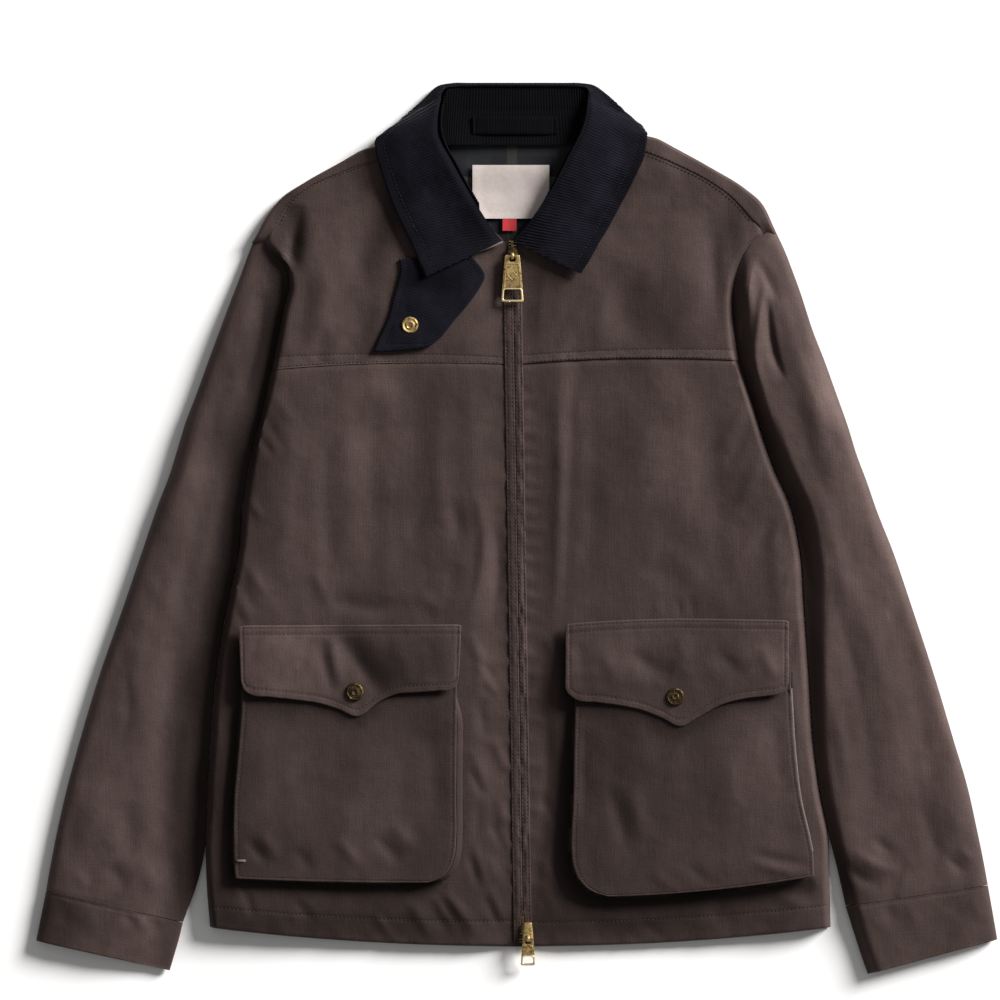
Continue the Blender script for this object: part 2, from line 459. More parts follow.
def groove(distance, at, depth=0.45, width=0.9):
    """The dip that a row of stitching draws in the cloth."""
    return -depth * np.exp(-((distance - at) / width) ** 2)


# ---------------------------------------------------------------- the body's form

def sign_of(side):
    """Which way the side lies along X."""
    return 1 if side == "left" else -1


OUTLINE = {side: smooth_line(SIDE[side][::-1] + ARMHOLE[side][::-1], 4.0) for side in SIDE}


def outline_distance(x, y):
    """How far in from the body's outline each point is, and less than nothing outside it."""
    left = np.interp(y, OUTLINE["left"][:, 1], OUTLINE["left"][:, 0]) - x
    right = x - np.interp(y, OUTLINE["right"][:, 1], OUTLINE["right"][:, 0])
    return np.minimum(left, right)


def edge_distance(x, y):
    """How far each point is in from the side seam or the armhole seam, allowing for their slant."""
    return np.maximum(0, outline_distance(x, y) * 0.97)


def zip_x(y):
    """The middle of the zip at each level."""
    return ZIP_SLANT * np.asarray(y, float)


def neck_lift(x, y):
    """How far the layers under the neck raise the cloth at each point."""
    return NECK_LIFT * ramp(y, *NECK_LIFT_Y) * ramp(np.abs(x), *NECK_LIFT_X)


def hem_droop(y):
    """How far the cloth sinks at each level near the hem."""
    return HEM_DROOP * ramp(y, HEM_Y + HEM_DROOP_REACH, HEM_Y)


def puckers(x, y):
    """The small ripples that run out from the zip's stitching."""
    total = np.zeros(np.shape(x))
    for side, table in ZIP_PUCKERS.items():
        out = sign_of(side) * (x - zip_x(y)) - ZIP_HALF
        for level, reach, depth in table:
            fade = ramp(out, reach, 0) * (out > -3)
            total += depth * fade * np.exp(-((y - level + 0.12 * out) / 3.6) ** 2)
    return total


def body_form(x, y):
    """Height of the fronts' outer face with no small wrinkles, from their outline."""
    x, y = np.asarray(x, float), np.asarray(y, float)
    edge = edge_distance(x, y)
    from_zip = np.abs(x - zip_x(y)) - ZIP_HALF
    full = CROWN["right"] + (CROWN["left"] - CROWN["right"]) * ramp(x, -40, 40)
    crown = full * ramp(edge, -1, 5) * (1 - 0.55 * ramp(edge, 20, 120)) * ramp(from_zip, 0, 40)
    crown = crown * (1 - ramp(y, *CROWN_ENDS))
    top = BODY_TOP + neck_lift(x, y) - hem_droop(y) + crown
    uneven = SIDE_ROUND * (1 + 0.4 * speckle(3.0 + 0 * y, y, 31))
    round_side = 0.85 * rounded(edge / uneven, 1.0) + 0.15 * eased(edge, 20)
    side = SIDE_SEAM + (top - SIDE_SEAM) * round_side
    low = np.where(x > 0, ARMHOLE_VALLEY["left"], ARMHOLE_VALLEY["right"])
    low = low + (top - 0.9 - low) * ramp(y, *VALLEY_ENDS)
    ease = np.where(x > 0, ARMHOLE_EASE["left"], ARMHOLE_EASE["right"])
    valley = low + (top - low) * eased(edge / ease, 1.0)
    above = ramp(y, *ARMPIT)
    return side * (1 - above) + valley * above


def body_height(x, y):
    """The fronts' outer face with its folds, which fade out at the seams round it."""
    x, y = np.asarray(x, float), np.asarray(y, float)
    edge = edge_distance(x, y)
    fade = (0.25 + 0.75 * ramp(edge, 0, 14)) * ramp(np.abs(x - zip_x(y)), ZIP_HALF, 2 * ZIP_HALF)
    wrinkle = 0.55 * speckle(x + 0.3 * y, y, 34) + 0.22 * speckle(x, y * 0.6, 13) + 0.07 * speckle(x, y, 5)
    folds = FOLD_GAIN * creases(x, y, BODY_FOLDS) + WRINKLE_GAIN * wrinkle
    return body_form(x, y) + fade * folds + 1.3 * puckers(x, y)


# Patches where the wax has worn lighter or lies darker: centre, reach across and along, turn, and strength.
Patch = namedtuple("Patch", "x y across along turn tone")
TONES = {
    "body": listed(Patch, (0, -60, 900, 330, 0, -0.20), (146, 72, 30, 55, 0, 0.62),
        (134, 133, 22, 16, 0, 0.30), (46, 122, 9, 60, 0, 0.25), (110, 100, 14, 60, 0, -0.32),
        (76, 20, 20, 60, 8, -0.15), (202, -22, 28, 38, 0, 0.32), (250, -30, 7, 34, 0, 0.25),
        (110, -22, 34, 22, 0, -0.12), (-122, 135, 22, 16, 0, 0.50), (-62, 125, 42, 20, 0, -0.25),
        (-135, 72, 26, 36, 0, 0.32), (-232, 75, 14, 60, 8, -0.55), (-165, -25, 30, 28, 0, 0.15),
        (-60, 60, 40, 70, 0, -0.12), (-30, -20, 16, 60, 0, 0.10), (-175, -348, 165, 28, 0, -0.85),
        (110, -346, 74, 22, 0, -0.70), (220, -342, 60, 24, 0, -0.30), (-26, -300, 22, 50, 0, -0.25),
        (-258, -260, 14, 110, 0, -0.20), (-121, 268, 12, 46, -14, -0.95), (34, 226, 26, 12, 0, -0.45),
        (-133, 176, 9, 26, -14, -0.80), (70, 240, 40, 30, 0, 0.12), (26, 205, 16, 40, 0, -0.25),
        (202, 190, 8, 44, 3, -0.45), (226, 76, 9, 110, 13, -0.50), (170, 235, 30, 40, 0, 0.15),
        (-196, 214, 8, 30, 0, -0.20), (-150, 215, 30, 60, 0, 0.05), (-201, 268, 11, 34, 4, -1.3),
        (-210, 251, 9, 17, 4, -1.0), (196, 268, 8, 26, 0, -0.85), (-5, -60, 5, 330, 0, -0.30),
        (5, -60, 4, 330, 0, 0.12)),
    "sleeve_left": listed(Patch, (330, -20, 80, 400, 20, 0.20), (270, 120, 14, 36, 18, 0.62),
        (300, 30, 20, 60, 20, 0.15), (255, 150, 12, 60, 15, -0.22), (374, -262, 40, 46, 0, -0.20),
        (300, -314, 11, 24, 25, -0.65), (316, -268, 16, 16, 0, 0.12), (264, 64, 11, 60, 14, -0.60),
        (233, 160, 8, 22, 14, -0.30)),
    "sleeve_right": listed(Patch, (-250, 200, 20, 60, 0, 0.08), (-262, 60, 16, 90, -20, -0.30),
        (-298, -150, 15, 120, -5, -0.85), (-266, -40, 12, 70, -8, -0.80), (-300, -270, 14, 60, 0, -0.70),
        (-372, -225, 22, 40, 0, 0.14), (-356, -160, 16, 40, 0, -0.14), (-330, 20, 14, 60, 20, -0.14),
        (-234, 185, 12, 90, -8, -0.40), (-217, 214, 11, 44, -6, -0.75), (-230, 160, 12, 44, -10, -0.55)),
    "cuff_left": listed(Patch, (360, -360, 200, 60, 0, -0.10), (318, -384, 14, 24, 0, 0.15)),
    "cuff_right": listed(Patch, (-410, -345, 30, 40, 0, -0.75), (-360, -350, 200, 60, 0, -0.08)),
    "pocket_left": listed(Patch, (150, -220, 400, 400, 0, -0.40), (96, -205, 46, 76, 0, -0.42),
        (216, -205, 34, 60, 0, 0.40), (190, -290, 70, 22, 0, 0.28), (64, -300, 18, 30, 0, -0.20),
        (80, -225, 8, 40, 0, 0.18)),
    "pocket_right": listed(Patch, (-150, -220, 400, 400, 0, -0.35), (-80, -220, 26, 60, 0, -0.32),
        (-226, -292, 40, 24, 0, -0.50), (-72, -168, 34, 18, 0, -0.35), (-205, -162, 46, 14, 0, -0.30),
        (-116, -250, 30, 42, -15, 0.34), (-135, -288, 22, 16, 0, 0.25), (-86, -292, 24, 24, 0, -0.22),
        (-246, -200, 8, 60, 0, -0.30)),
    "gusset": [Patch(0, -220, 900, 400, 0, -0.50)],
    "flap_left": listed(Patch, (150, -110, 200, 100, 0, -0.25), (150, -122, 46, 18, 0, -0.30),
        (62, -140, 20, 12, 0, -0.30), (218, -115, 28, 24, 0, 0.30), (76, -105, 20, 16, 0, 0.18),
        (185, -128, 12, 10, 0, -0.25)),
    "collar": listed(Patch, (-108, 316, 13, 46, 20, -0.85), (-80, 298, 12, 50, 28, 0.48),
        (-36, 262, 16, 26, 0, -0.51), (-92, 262, 10, 22, 25, -0.34), (84, 320, 11, 56, -28, 0.54),
        (34, 288, 9, 44, -30, -0.42), (60, 238, 14, 14, 0, -0.42), (104, 348, 12, 14, 0, -0.51),
        (100, 300, 8, 30, -25, -0.34), (-62, 372, 12, 20, 0, -0.68), (62, 378, 14, 16, 0, -0.34),
        (-96, 226, 14, 12, 0, -0.85), (-60, 230, 16, 14, 0, -0.59)),
    "flap_right": listed(Patch, (-200, -112, 42, 24, 0, 0.12), (-135, -116, 12, 38, 38, -1.35),
        (-98, -118, 34, 30, 0, -0.85), (-74, -118, 18, 26, 0, -0.35), (-240, -140, 14, 12, 0, -0.20)),
}


def patches_at(kind, x, y):
    """The sum of a kind's patches at each point, each one fading from its centre."""
    total = np.zeros(np.shape(x))
    for patch in TONES[kind]:
        turn = math.radians(patch.turn)
        dx, dy = x - patch.x, y - patch.y
        u = (dx * math.cos(turn) + dy * math.sin(turn)) / patch.across
        v = (dy * math.cos(turn) - dx * math.sin(turn)) / patch.along
        total += patch.tone * np.exp(-(u**2 + v**2))
    return total


def below_flap(side, x, y):
    """The shade that a flap throws on its pocket, from the flap's lower edge downwards."""
    rim = np.array([[row.bx, row.by] for row in FLAP[side]], float)
    rim = rim[np.argsort(rim[:, 0])]
    below = np.interp(x, rim[:, 0], rim[:, 1]) - y
    return 0.75 * np.exp(-(np.maximum(below, 0) / 11) ** 2)


def tone_at(kind, x, y):
    """How much lighter or darker the cloth is at each point, as a factor."""
    total = patches_at(kind, x, y)
    total += 0.10 * speckle(x * 1.3, y * 0.6, 16) + 0.08 * speckle(x, y, 7)
    beyond = -outline_distance(x, y)
    if kind == "sleeve_left":
        total -= 0.8 * np.exp(-(np.maximum(beyond, 0) / 9) ** 2) * ramp(y, 250, 180) * ramp(y, -190, -60)
    if kind == "sleeve_right":
        total -= 0.9 * np.exp(-(np.maximum(beyond - 4, 0) / 17) ** 2) * ramp(y, 262, 200)
    for side in ("left", "right"):
        if kind == "pocket_" + side:
            total -= below_flap(side, x, y)
        if kind == "body":
            total -= pocket_hollow(side, x, y)
    return np.exp(total)


def pocket_hollow(side, x, y):
    """The dark hollow beside a pocket and under it, on the sides away from the light."""
    path = smooth_line(pocket_outline(side), 1.6)
    reach = 13.0 if side == "left" else 9.0
    best = np.full(np.shape(x), 1e9)
    facing = np.zeros(np.shape(x))
    for point in path:
        dx, dy = x - point[0], y - point[1]
        distance = np.hypot(dx, dy)
        towards = (-0.8 * dx - 0.75 * dy) / np.maximum(distance, 1e-6)
        facing = np.where(distance < best, towards, facing)
        best = np.minimum(best, distance)
    return 1.9 * np.exp(-(best / reach) ** 2.6) * np.clip(1.3 * facing, 0, 1)


# ---------------------------------------------------------------- making pieces

def grid_faces(rows, columns, flip):
    """The quads between the points of a grid, turned over where asked."""
    index = np.arange(rows * columns).reshape(rows, columns)
    a, b, c, d = index[:-1, :-1], index[:-1, 1:], index[1:, 1:], index[1:, :-1]
    quads = np.stack([a, d, c, b] if flip else [a, b, c, d], axis=-1)
    return quads.reshape(-1, 4)


def new_object(name, data, material, node_names=(), body=GARMENT):
    """A piece that rides a body, takes the place of its nodes, and has a slot for its material."""
    obj = bpy.data.objects.new(name, data)
    bpy.context.scene.collection.objects.link(obj)
    data.materials.append(material)
    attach(obj, body)
    if node_names:
        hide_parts(*node_names)
    return obj


def finished(name, mesh, outwards=True):
    """The built mesh as mesh data, with its faces turned outwards where asked."""
    if outwards:
        bmesh.ops.recalc_face_normals(mesh, faces=mesh.faces)
    data = bpy.data.meshes.new(name)
    mesh.to_mesh(data)
    mesh.free()
    return data


def skin(mesh, rings):
    """Joins rings of vertices one after another and closes both ends."""
    count = len(rings[0])
    for first, second in zip(rings[:-1], rings[1:]):
        for k in range(count):
            n = (k + 1) % count
            mesh.faces.new((first[k], first[n], second[n], second[k]))
    mesh.faces.new(rings[0][::-1])
    mesh.faces.new(rings[-1])


def set_values(data, name, values):
    """Stores one number for each point of a mesh, for its material to read."""
    layer = data.attributes.new(name, "FLOAT", "POINT")
    layer.data.foreach_set("value", np.ravel(values).astype(np.float32))


def cloth(name, grids, wall, material, nodes=(), slot="waxed_cotton", flip=False, rub=None,
          even=True, sharp=50, tone=None):
    """A piece of cloth from one or more grids of its outer face's points, thickened inwards."""
    points, faces, start = [], [], 0
    for grid in grids:
        rows, columns = grid.shape[:2]
        points.append(grid.reshape(-1, 3) * MM)
        faces.append(grid_faces(rows, columns, flip) + start)
        start += rows * columns
    points, faces = np.concatenate(points), np.concatenate(faces)
    data = bpy.data.meshes.new(name)
    data.from_pydata(points.tolist(), [], faces.tolist())
    if rub is not None:
        set_values(data, "rub", rub)
    if slot in ("waxed_cotton", "corduroy"):
        even_tone = np.ones(len(points))
        set_values(data, "tone", tone_at(tone, points[:, 0] / MM, points[:, 1] / MM) if tone else even_tone)
    mesh = bmesh.new()
    mesh.from_mesh(data)
    bmesh.ops.remove_doubles(mesh, verts=mesh.verts, dist=2e-5)
    mesh.to_mesh(data)
    mesh.free()
    data.shade_smooth()
    obj = new_object(name, data, material, nodes)
    solid = obj.modifiers.new("Wall", "SOLIDIFY")
    solid.thickness = wall * MM
    solid.offset = -1.0
    solid.use_even_offset = even
    solid.use_quality_normals = True
    corner = obj.modifiers.new("Corners", "EDGE_SPLIT")
    corner.split_angle = math.radians(sharp)
    return obj


def lofted(rows, step, first=(0,), last=(0,)):
    """The rows with smooth rows put in between, and each one's distance from the first and the last."""
    table = np.array([list(r) for r in rows], float)
    middle = (table[:, 0:2] + table[:, 2:4]) / 2
    ends = (chords(table[:, 0:2]) + chords(table[:, 2:4])) / 2
    t = np.maximum(ends, chords(middle) * 0.5)
    at = places(t[-1], first, last, step)
    return hermite(t, table, at), at, t[-1] - at


def spread_over(dense, step, first=(0,), last=(0,)):
    """Points across dense rows: x, y, and a and b, the distances from A and from B, as grids."""
    width = np.hypot(dense[:, 2] - dense[:, 0], dense[:, 3] - dense[:, 1])
    count = int(round(max(1.0, (width.max() - first[-1] - last[-1]) / step)))
    a = np.array([places(w, first, last, -count) for w in width])
    t = a / width[:, None]
    x = dense[:, [0]] + (dense[:, [2]] - dense[:, [0]]) * t
    y = dense[:, [1]] + (dense[:, [3]] - dense[:, [1]]) * t + dense[:, [4]] * 4 * t * (1 - t)
    return x, y, a, width[:, None] - a


def lifted(x, y, z):
    """Points in space from grids of x, y and z."""
    return np.stack([x, y, np.broadcast_to(z, x.shape)], axis=-1)


def normals_of(grid):
    """The outward direction at each point of a grid."""
    n = np.cross(np.gradient(grid, axis=1), np.gradient(grid, axis=0))
    length = np.linalg.norm(n, axis=-1, keepdims=True)
    return n / np.maximum(length, 1e-9)


# ---------------------------------------------------------------- materials

def shader_of(name, roughness, metallic=0.0, specular=0.5, sheen=0.0, sheen_roughness=0.5):
    """A new material: its node tree, its shader, and the place of each point on the piece."""
    material = bpy.data.materials.new(name)
    material.use_nodes = True
    tree = material.node_tree
    shader = tree.nodes["Principled BSDF"]
    shader.inputs["Roughness"].default_value = roughness
    shader.inputs["Metallic"].default_value = metallic
    shader.inputs["Specular IOR Level"].default_value = specular
    shader.inputs["Sheen Weight"].default_value = sheen
    shader.inputs["Sheen Roughness"].default_value = sheen_roughness
    place = tree.nodes.new("ShaderNodeTexCoord")
    return material, tree, shader, place.outputs["Object"]


def noise_of(tree, place, size_mm, detail=3.0, stretch=(1, 1, 1)):
    """Soft noise with patches about size_mm across, squeezed along each axis by the stretch."""
    scaled = tree.nodes.new("ShaderNodeVectorMath")
    scaled.operation = "MULTIPLY"
    scaled.inputs[1].default_value = [s / (size_mm * MM) for s in stretch]
    tree.links.new(place, scaled.inputs[0])
    noise = tree.nodes.new("ShaderNodeTexNoise")
    noise.inputs["Scale"].default_value = 1.0
    noise.inputs["Detail"].default_value = detail
    tree.links.new(scaled.outputs[0], noise.inputs["Vector"])
    return noise.outputs["Fac"]


def wave_of(tree, place, pitch_mm, direction):
    """Stripes along a direction: a sine of the distance, from 0 to 1."""
    along = tree.nodes.new("ShaderNodeVectorMath")
    along.operation = "DOT_PRODUCT"
    along.inputs[1].default_value = [c * 2 * math.pi / (pitch_mm * MM) for c in direction]
    tree.links.new(place, along.inputs[0])
    return arith(tree, "MULTIPLY_ADD", arith(tree, "SINE", along.outputs["Value"]), 0.5, 0.5)


def arith(tree, operation, *values):
    """A sum worked out by a math node on sockets and numbers."""
    node = tree.nodes.new("ShaderNodeMath")
    node.operation = operation
    for socket, value in zip(node.inputs, values):
        if hasattr(value, "links"):
            tree.links.new(value, socket)
        else:
            socket.default_value = value
    return node.outputs[0]


def times(tree, first, second):
    return arith(tree, "MULTIPLY", first, second)


def attribute_of(tree, name):
    """The number that each point of the piece stores under a name."""
    node = tree.nodes.new("ShaderNodeAttribute")
    node.attribute_name = name
    return node.outputs["Fac"]


def ranged(tree, value, low, high, to_low=0.0, to_high=1.0):
    """The value taken from one range to another and held inside it."""
    node = tree.nodes.new("ShaderNodeMapRange")
    node.inputs["From Min"].default_value = low
    node.inputs["From Max"].default_value = high
    node.inputs["To Min"].default_value = to_low
    node.inputs["To Max"].default_value = to_high
    tree.links.new(value, node.inputs["Value"])
    return node.outputs["Result"]


def mixed(tree, factor, low, high):
    """One colour turning into another as the factor goes from 0 to 1."""
    node = tree.nodes.new("ShaderNodeMix")
    node.data_type = "RGBA"
    node.blend_type = "MIX"
    for socket, value in ((node.inputs[0], factor), (node.inputs[6], low), (node.inputs[7], high)):
        if hasattr(value, "links"):
            tree.links.new(value, socket)
        elif isinstance(value, (int, float)):
            socket.default_value = value
        else:
            socket.default_value = (*value, 1.0)
    return node.outputs[2]


def bumped(tree, shader, heights):
    """Bump nodes in a chain, one for each (height, strength, depth in mm)."""
    last = None
    for height, strength, depth in heights:
        bump = tree.nodes.new("ShaderNodeBump")
        bump.inputs["Strength"].default_value = strength
        bump.inputs["Distance"].default_value = depth * MM
        tree.links.new(height, bump.inputs["Height"])
        if last is not None:
            tree.links.new(last, bump.inputs["Normal"])
        last = bump.outputs["Normal"]
    tree.links.new(last, shader.inputs["Normal"])


def toned(tree, colour):
    """The colour made lighter or darker by the piece's own tone attribute."""
    scaled = tree.nodes.new("ShaderNodeVectorMath")
    scaled.operation = "SCALE"
    tree.links.new(colour, scaled.inputs[0])
    tree.links.new(attribute_of(tree, "tone"), scaled.inputs["Scale"])
    return scaled.outputs[0]


def waxed_cotton(name, dark, light, rubbed):
    """Dry waxed twill: blotches of wax, a fine diagonal weave, and lighter cloth where it is rubbed."""
    material, tree, shader, place = shader_of(name, 0.62, specular=0.17)
    shader.inputs["Specular Tint"].default_value = (1.0, 0.78, 0.72, 1.0)
    blotch = ranged(tree, noise_of(tree, place, 95, 3.5, (1, 0.7, 1)), 0.34, 0.66)
    mottle = ranged(tree, noise_of(tree, place, 7, 4.0), 0.3, 0.7)
    grain = ranged(tree, noise_of(tree, place, 1.0, 2.0), 0.25, 0.75)
    warp = ranged(tree, noise_of(tree, place, 1.5, 2.0, (1.0, 0.05, 1)), 0.3, 0.7)
    weft = ranged(tree, noise_of(tree, place, 1.5, 2.0, (0.05, 1.0, 1)), 0.3, 0.7)
    colour = mixed(tree, blotch, dark, light)
    for pattern, share, shade in ((mottle, 0.20, light), (grain, 0.30, rubbed), (warp, 0.34, dark),
                                  (weft, 0.20, light)):
        colour = mixed(tree, times(tree, pattern, share), colour, shade)
    worn = ranged(tree, noise_of(tree, place, 5, 4.0, (1, 1, 1)), 0.30, 0.70)
    amount = times(tree, attribute_of(tree, "rub"), arith(tree, "MULTIPLY_ADD", worn, 0.7, 0.3))
    colour = mixed(tree, amount, colour, rubbed)
    tree.links.new(toned(tree, colour), shader.inputs["Base Color"])
    tree.links.new(ranged(tree, blotch, 0, 1, 0.68, 0.54), shader.inputs["Roughness"])
    twill = wave_of(tree, place, 0.75, (0.82, 0.57, 0.3))
    bumped(tree, shader, [(mottle, 0.22, 0.4), (warp, 0.38, 0.14), (weft, 0.26, 0.12),
                          (grain, 0.55, 0.20), (twill, 0.40, 0.10)])
    return material


def corduroy(name, dark, light, sheen=0.10):
    """The pile of the corduroy; its wales are part of the cloth's own shape."""
    material, tree, shader, place = shader_of(name, 0.92, specular=0.06, sheen=sheen, sheen_roughness=0.4)
    patch = ranged(tree, noise_of(tree, place, 26, 3.0), 0.3, 0.7)
    pile = ranged(tree, noise_of(tree, place, 0.9, 2.0), 0.3, 0.7)
    shade = arith(tree, "MULTIPLY_ADD", patch, 0.6, times(tree, pile, 0.35))
    tree.links.new(toned(tree, mixed(tree, shade, dark, light)), shader.inputs["Base Color"])
    bumped(tree, shader, [(pile, 0.5, 0.3)])
    return material


def woven(name, colour, shade, pitch, roughness=0.85):
    """A plain weave of threads at a pitch."""
    material, tree, shader, place = shader_of(name, roughness, specular=0.2, sheen=0.05)
    weave = times(tree, wave_of(tree, place, pitch, (1, 0, 0)), wave_of(tree, place, pitch, (0, 1, 0)))
    fleck = ranged(tree, noise_of(tree, place, 3, 3.0), 0.3, 0.7)
    mix = arith(tree, "MULTIPLY_ADD", weave, 0.5, times(tree, fleck, 0.5))
    tree.links.new(mixed(tree, mix, shade, colour), shader.inputs["Base Color"])
    bumped(tree, shader, [(weave, 0.5, 0.15)])
    return material


def tartan():
    """The lining: dark blue and green checks with an olive line and a pale one."""
    material, tree, shader, place = shader_of("tartan_lining_cloth", 0.85, specular=0.2)
    split = tree.nodes.new("ShaderNodeSeparateXYZ")
    tree.links.new(place, split.inputs[0])
    x, y = split.outputs["X"], split.outputs["Y"]

    def band(axis, centre, half, repeat=78):
        offset = arith(tree, "PINGPONG", arith(tree, "SUBTRACT", axis, centre * MM), repeat * MM / 2)
        return arith(tree, "LESS_THAN", offset, half * MM)

    ground, green = (0.0100, 0.0104, 0.0155), (0.0175, 0.0190, 0.0200)
    olive, pale, dark = (0.034, 0.034, 0.025), (0.085, 0.086, 0.076), (0.006, 0.006, 0.008)
    fleck = ranged(tree, noise_of(tree, place, 1.2, 2.0), 0.3, 0.7)
    colour = ground
    for pattern, share, shade in ((band(x, -34, 11), 0.7, green), (band(y, 342, 6), 0.5, green),
                                  (band(x, -4.5, 4.6), 0.75, olive),
                                  (times(tree, band(y, 313, 4.6), band(x, -46, 7.5)), 0.8, pale),
                                  (fleck, 0.3, dark)):
        colour = mixed(tree, times(tree, pattern, share), colour, shade)
    tree.links.new(colour, shader.inputs["Base Color"])
    twill = wave_of(tree, place, 0.9, (0.7, 0.7, 0))
    bumped(tree, shader, [(twill, 0.3, 0.15)])
    return material


def brass(name, bright, patina, roughness, cover):
    """Antiqued brass: bright where it is rubbed, with brown patina in the low places."""
    material, tree, shader, place = shader_of(name, roughness, metallic=1.0)
    cloudy = noise_of(tree, place, 2.6, 5.0)
    fine = noise_of(tree, place, 0.7, 3.0)
    blend = arith(tree, "MULTIPLY_ADD", fine, 0.35, times(tree, cloudy, 0.65))
    amount = ranged(tree, blend, cover - 0.09, cover + 0.07)
    tree.links.new(mixed(tree, amount, bright, patina), shader.inputs["Base Color"])
    tree.links.new(ranged(tree, amount, 0, 1, roughness, roughness + 0.28), shader.inputs["Roughness"])
    bumped(tree, shader, [(cloudy, 0.35, 0.12), (fine, 0.2, 0.05)])
    return material


def plain_cloth(name, low, high, roughness=0.8):
    """Plain cloth or thread, lightly flecked between two colours."""
    material, tree, shader, place = shader_of(name, roughness, specular=0.25)
    fleck = ranged(tree, noise_of(tree, place, 1.1, 3.0), 0.3, 0.7)
    tree.links.new(mixed(tree, fleck, low, high), shader.inputs["Base Color"])
    bumped(tree, shader, [(fleck, 0.4, 0.15)])
    return material


WAX = waxed_cotton("waxed_cotton_cloth", dark=(0.034, 0.0222, 0.0208), light=(0.050, 0.0338, 0.0320),
                   rubbed=(0.096, 0.070, 0.063))
CORD = corduroy("corduroy_cloth", (0.0021, 0.0020, 0.0038), (0.0088, 0.0084, 0.0142))
DEEP_CORD = corduroy("inner_corduroy_cloth", (0.0006, 0.0006, 0.0010), (0.0024, 0.0024, 0.0036), 0.03)
TARTAN = tartan()
LABEL = woven("neck_label_cloth", (0.60, 0.53, 0.51), (0.50, 0.435, 0.415), 0.8)
RED = woven("size_tab_cloth", (0.52, 0.045, 0.055), (0.40, 0.028, 0.036), 0.8)
TAPE = woven("zip_tape_cloth", (0.050, 0.036, 0.034), (0.026, 0.019, 0.018), 1.1)
TAN = plain_cloth("tan_lining_cloth", (0.045, 0.037, 0.033), (0.13, 0.108, 0.094))
PALE = plain_cloth("pale_lining_cloth", (0.10, 0.082, 0.074), (0.24, 0.20, 0.18))
THREAD = plain_cloth("thread", (0.014, 0.009, 0.0085), (0.036, 0.024, 0.0225), 0.75)
DARK_THREAD = plain_cloth("collar_thread", (0.0022, 0.0021, 0.0036), (0.0075, 0.0073, 0.0115), 0.8)
TACK_THREAD = plain_cloth("bar_tack_thread", (0.10, 0.075, 0.068), (0.17, 0.13, 0.12), 0.6)
BRASS = brass("brass_metal", (0.74, 0.55, 0.25), (0.17, 0.11, 0.045), 0.40, 0.52)
POLISHED = brass("rubbed_brass_metal", (0.95, 0.78, 0.46), (0.50, 0.36, 0.16), 0.46, 0.60)
AGED = brass("aged_brass_metal", (0.15, 0.105, 0.05), (0.035, 0.024, 0.013), 0.45, 0.44)
DARK_BRASS = brass("dark_brass_metal", (0.16, 0.11, 0.05), (0.03, 0.02, 0.01), 0.4, 0.44)


# ---------------------------------------------------------------- fronts, yokes and back

def front_inner_x(side, y):
    """Where a front's edge shows beside its zip guard."""
    return zip_x(y) + (GUARD_LEFT if side == "left" else -GUARD_RIGHT)


# Where the rows and the columns of points lie, as distances in from an edge: closer together at the seams,
# the folds and the stitching.
SIDE_COLUMNS = (0, 0.25, 0.8, 1.8, 3.2, 5, 7.5, 10.5, 14)
SEAM_ROWS = (0, 0.5, 1.2, 2.2, 3.4, 4.6, 6)
ZIP_COLUMNS = (0, 1.0, 2.5, 4.5, 7)
HEM_STITCH = 21.0
HEM_ROWS = (0, 0.4, 1.1, 2.2, 4, 7, 11, 15, 18, 19.6, 20.4, 21, 21.6, 22.4, 24, 27)
YOKE_STITCH = 8.5
YOKE_ROWS = (0, 0.3, 0.9, 1.8, 2.8, 4, 5.5, 7, 7.9, 8.5, 9.1, 10, 12)
CUFF_ROWS = (0, 0.4, 1.0, 2.0, 3.4, 5, 6.2, 7)
TUBE_COLUMNS = (0, 0.25, 0.9, 2, 3.6, 6, 9, 13)
TUBE_UNDER_COLUMNS = (0, 0.3, 1.4, 3.4, 6.5)
TAPE_COLUMNS = (2.9, 4.5, 7, 10, 14)
GUARD_SHARES = (0, 0.03, 0.08, 0.14, 0.2, 0.27, 0.4, 0.55, 0.68, 0.75, 0.8, 0.86, 0.93, 0.97, 1.0)
POCKET_COLUMNS = (0, 0.3, 0.9, 1.9, 2.8, 3.5, 4.3, 6)
FLAP_END_ROWS = (0, 0.4, 1.2, 2.4, 4, 5.4, 6.2, 7)
FLAP_SEAM_COLUMNS = (0, 0.5, 1.3, 2.2, 3.1, 5, 7, 8, 9, 11)
FLAP_POINT_COLUMNS = (0, 0.3, 0.9, 1.8, 3.4, 5.2, 6.2, 7.2, 9)
# The levels of the tables' rows: the fronts and the yokes beside the zip, and the back down its middle.
FRONT_INNER_LEVELS = (HEM_Y, -330, -285, -240, -190, -130, -70, -20, 25, 52, 80, 106, 129, 148.6)
YOKE_INNER_LEVELS = (149.2, 178, 208, 236, 258)
BACK_LEVELS = (HEM_Y, -352, -330, -300, -270, -240, -210, -180, -150, -120, -90, -60, -30, 0, 25, 52, 80,
               106, 131, 150, 170, 190, 215, 238, 256, 264)


def front_rows(side):
    """A front from the hem to the yoke seam: from the zip guard to the side and the armhole."""
    s = sign_of(side)
    outer = SIDE[side][::-1] + ARMHOLE[side][:YOKE_POINT - 1:-1]
    bows = {0: -4.5, 1: -3.0, len(outer) - 2: 1.5, len(outer) - 1: 3.5}
    rows = []
    for index, (point, level) in enumerate(zip(outer, FRONT_INNER_LEVELS)):
        inner = front_inner_x(side, level) - s * GUARD_LAP
        rows.append(Row(inner, level, point.x, point.y, bows.get(index, 0.0)))
    last = rows[-1]
    rows.append(Row(last.ax, last.ay + 4, last.bx - s * 1.5, last.by + 4, last.bow))
    return rows


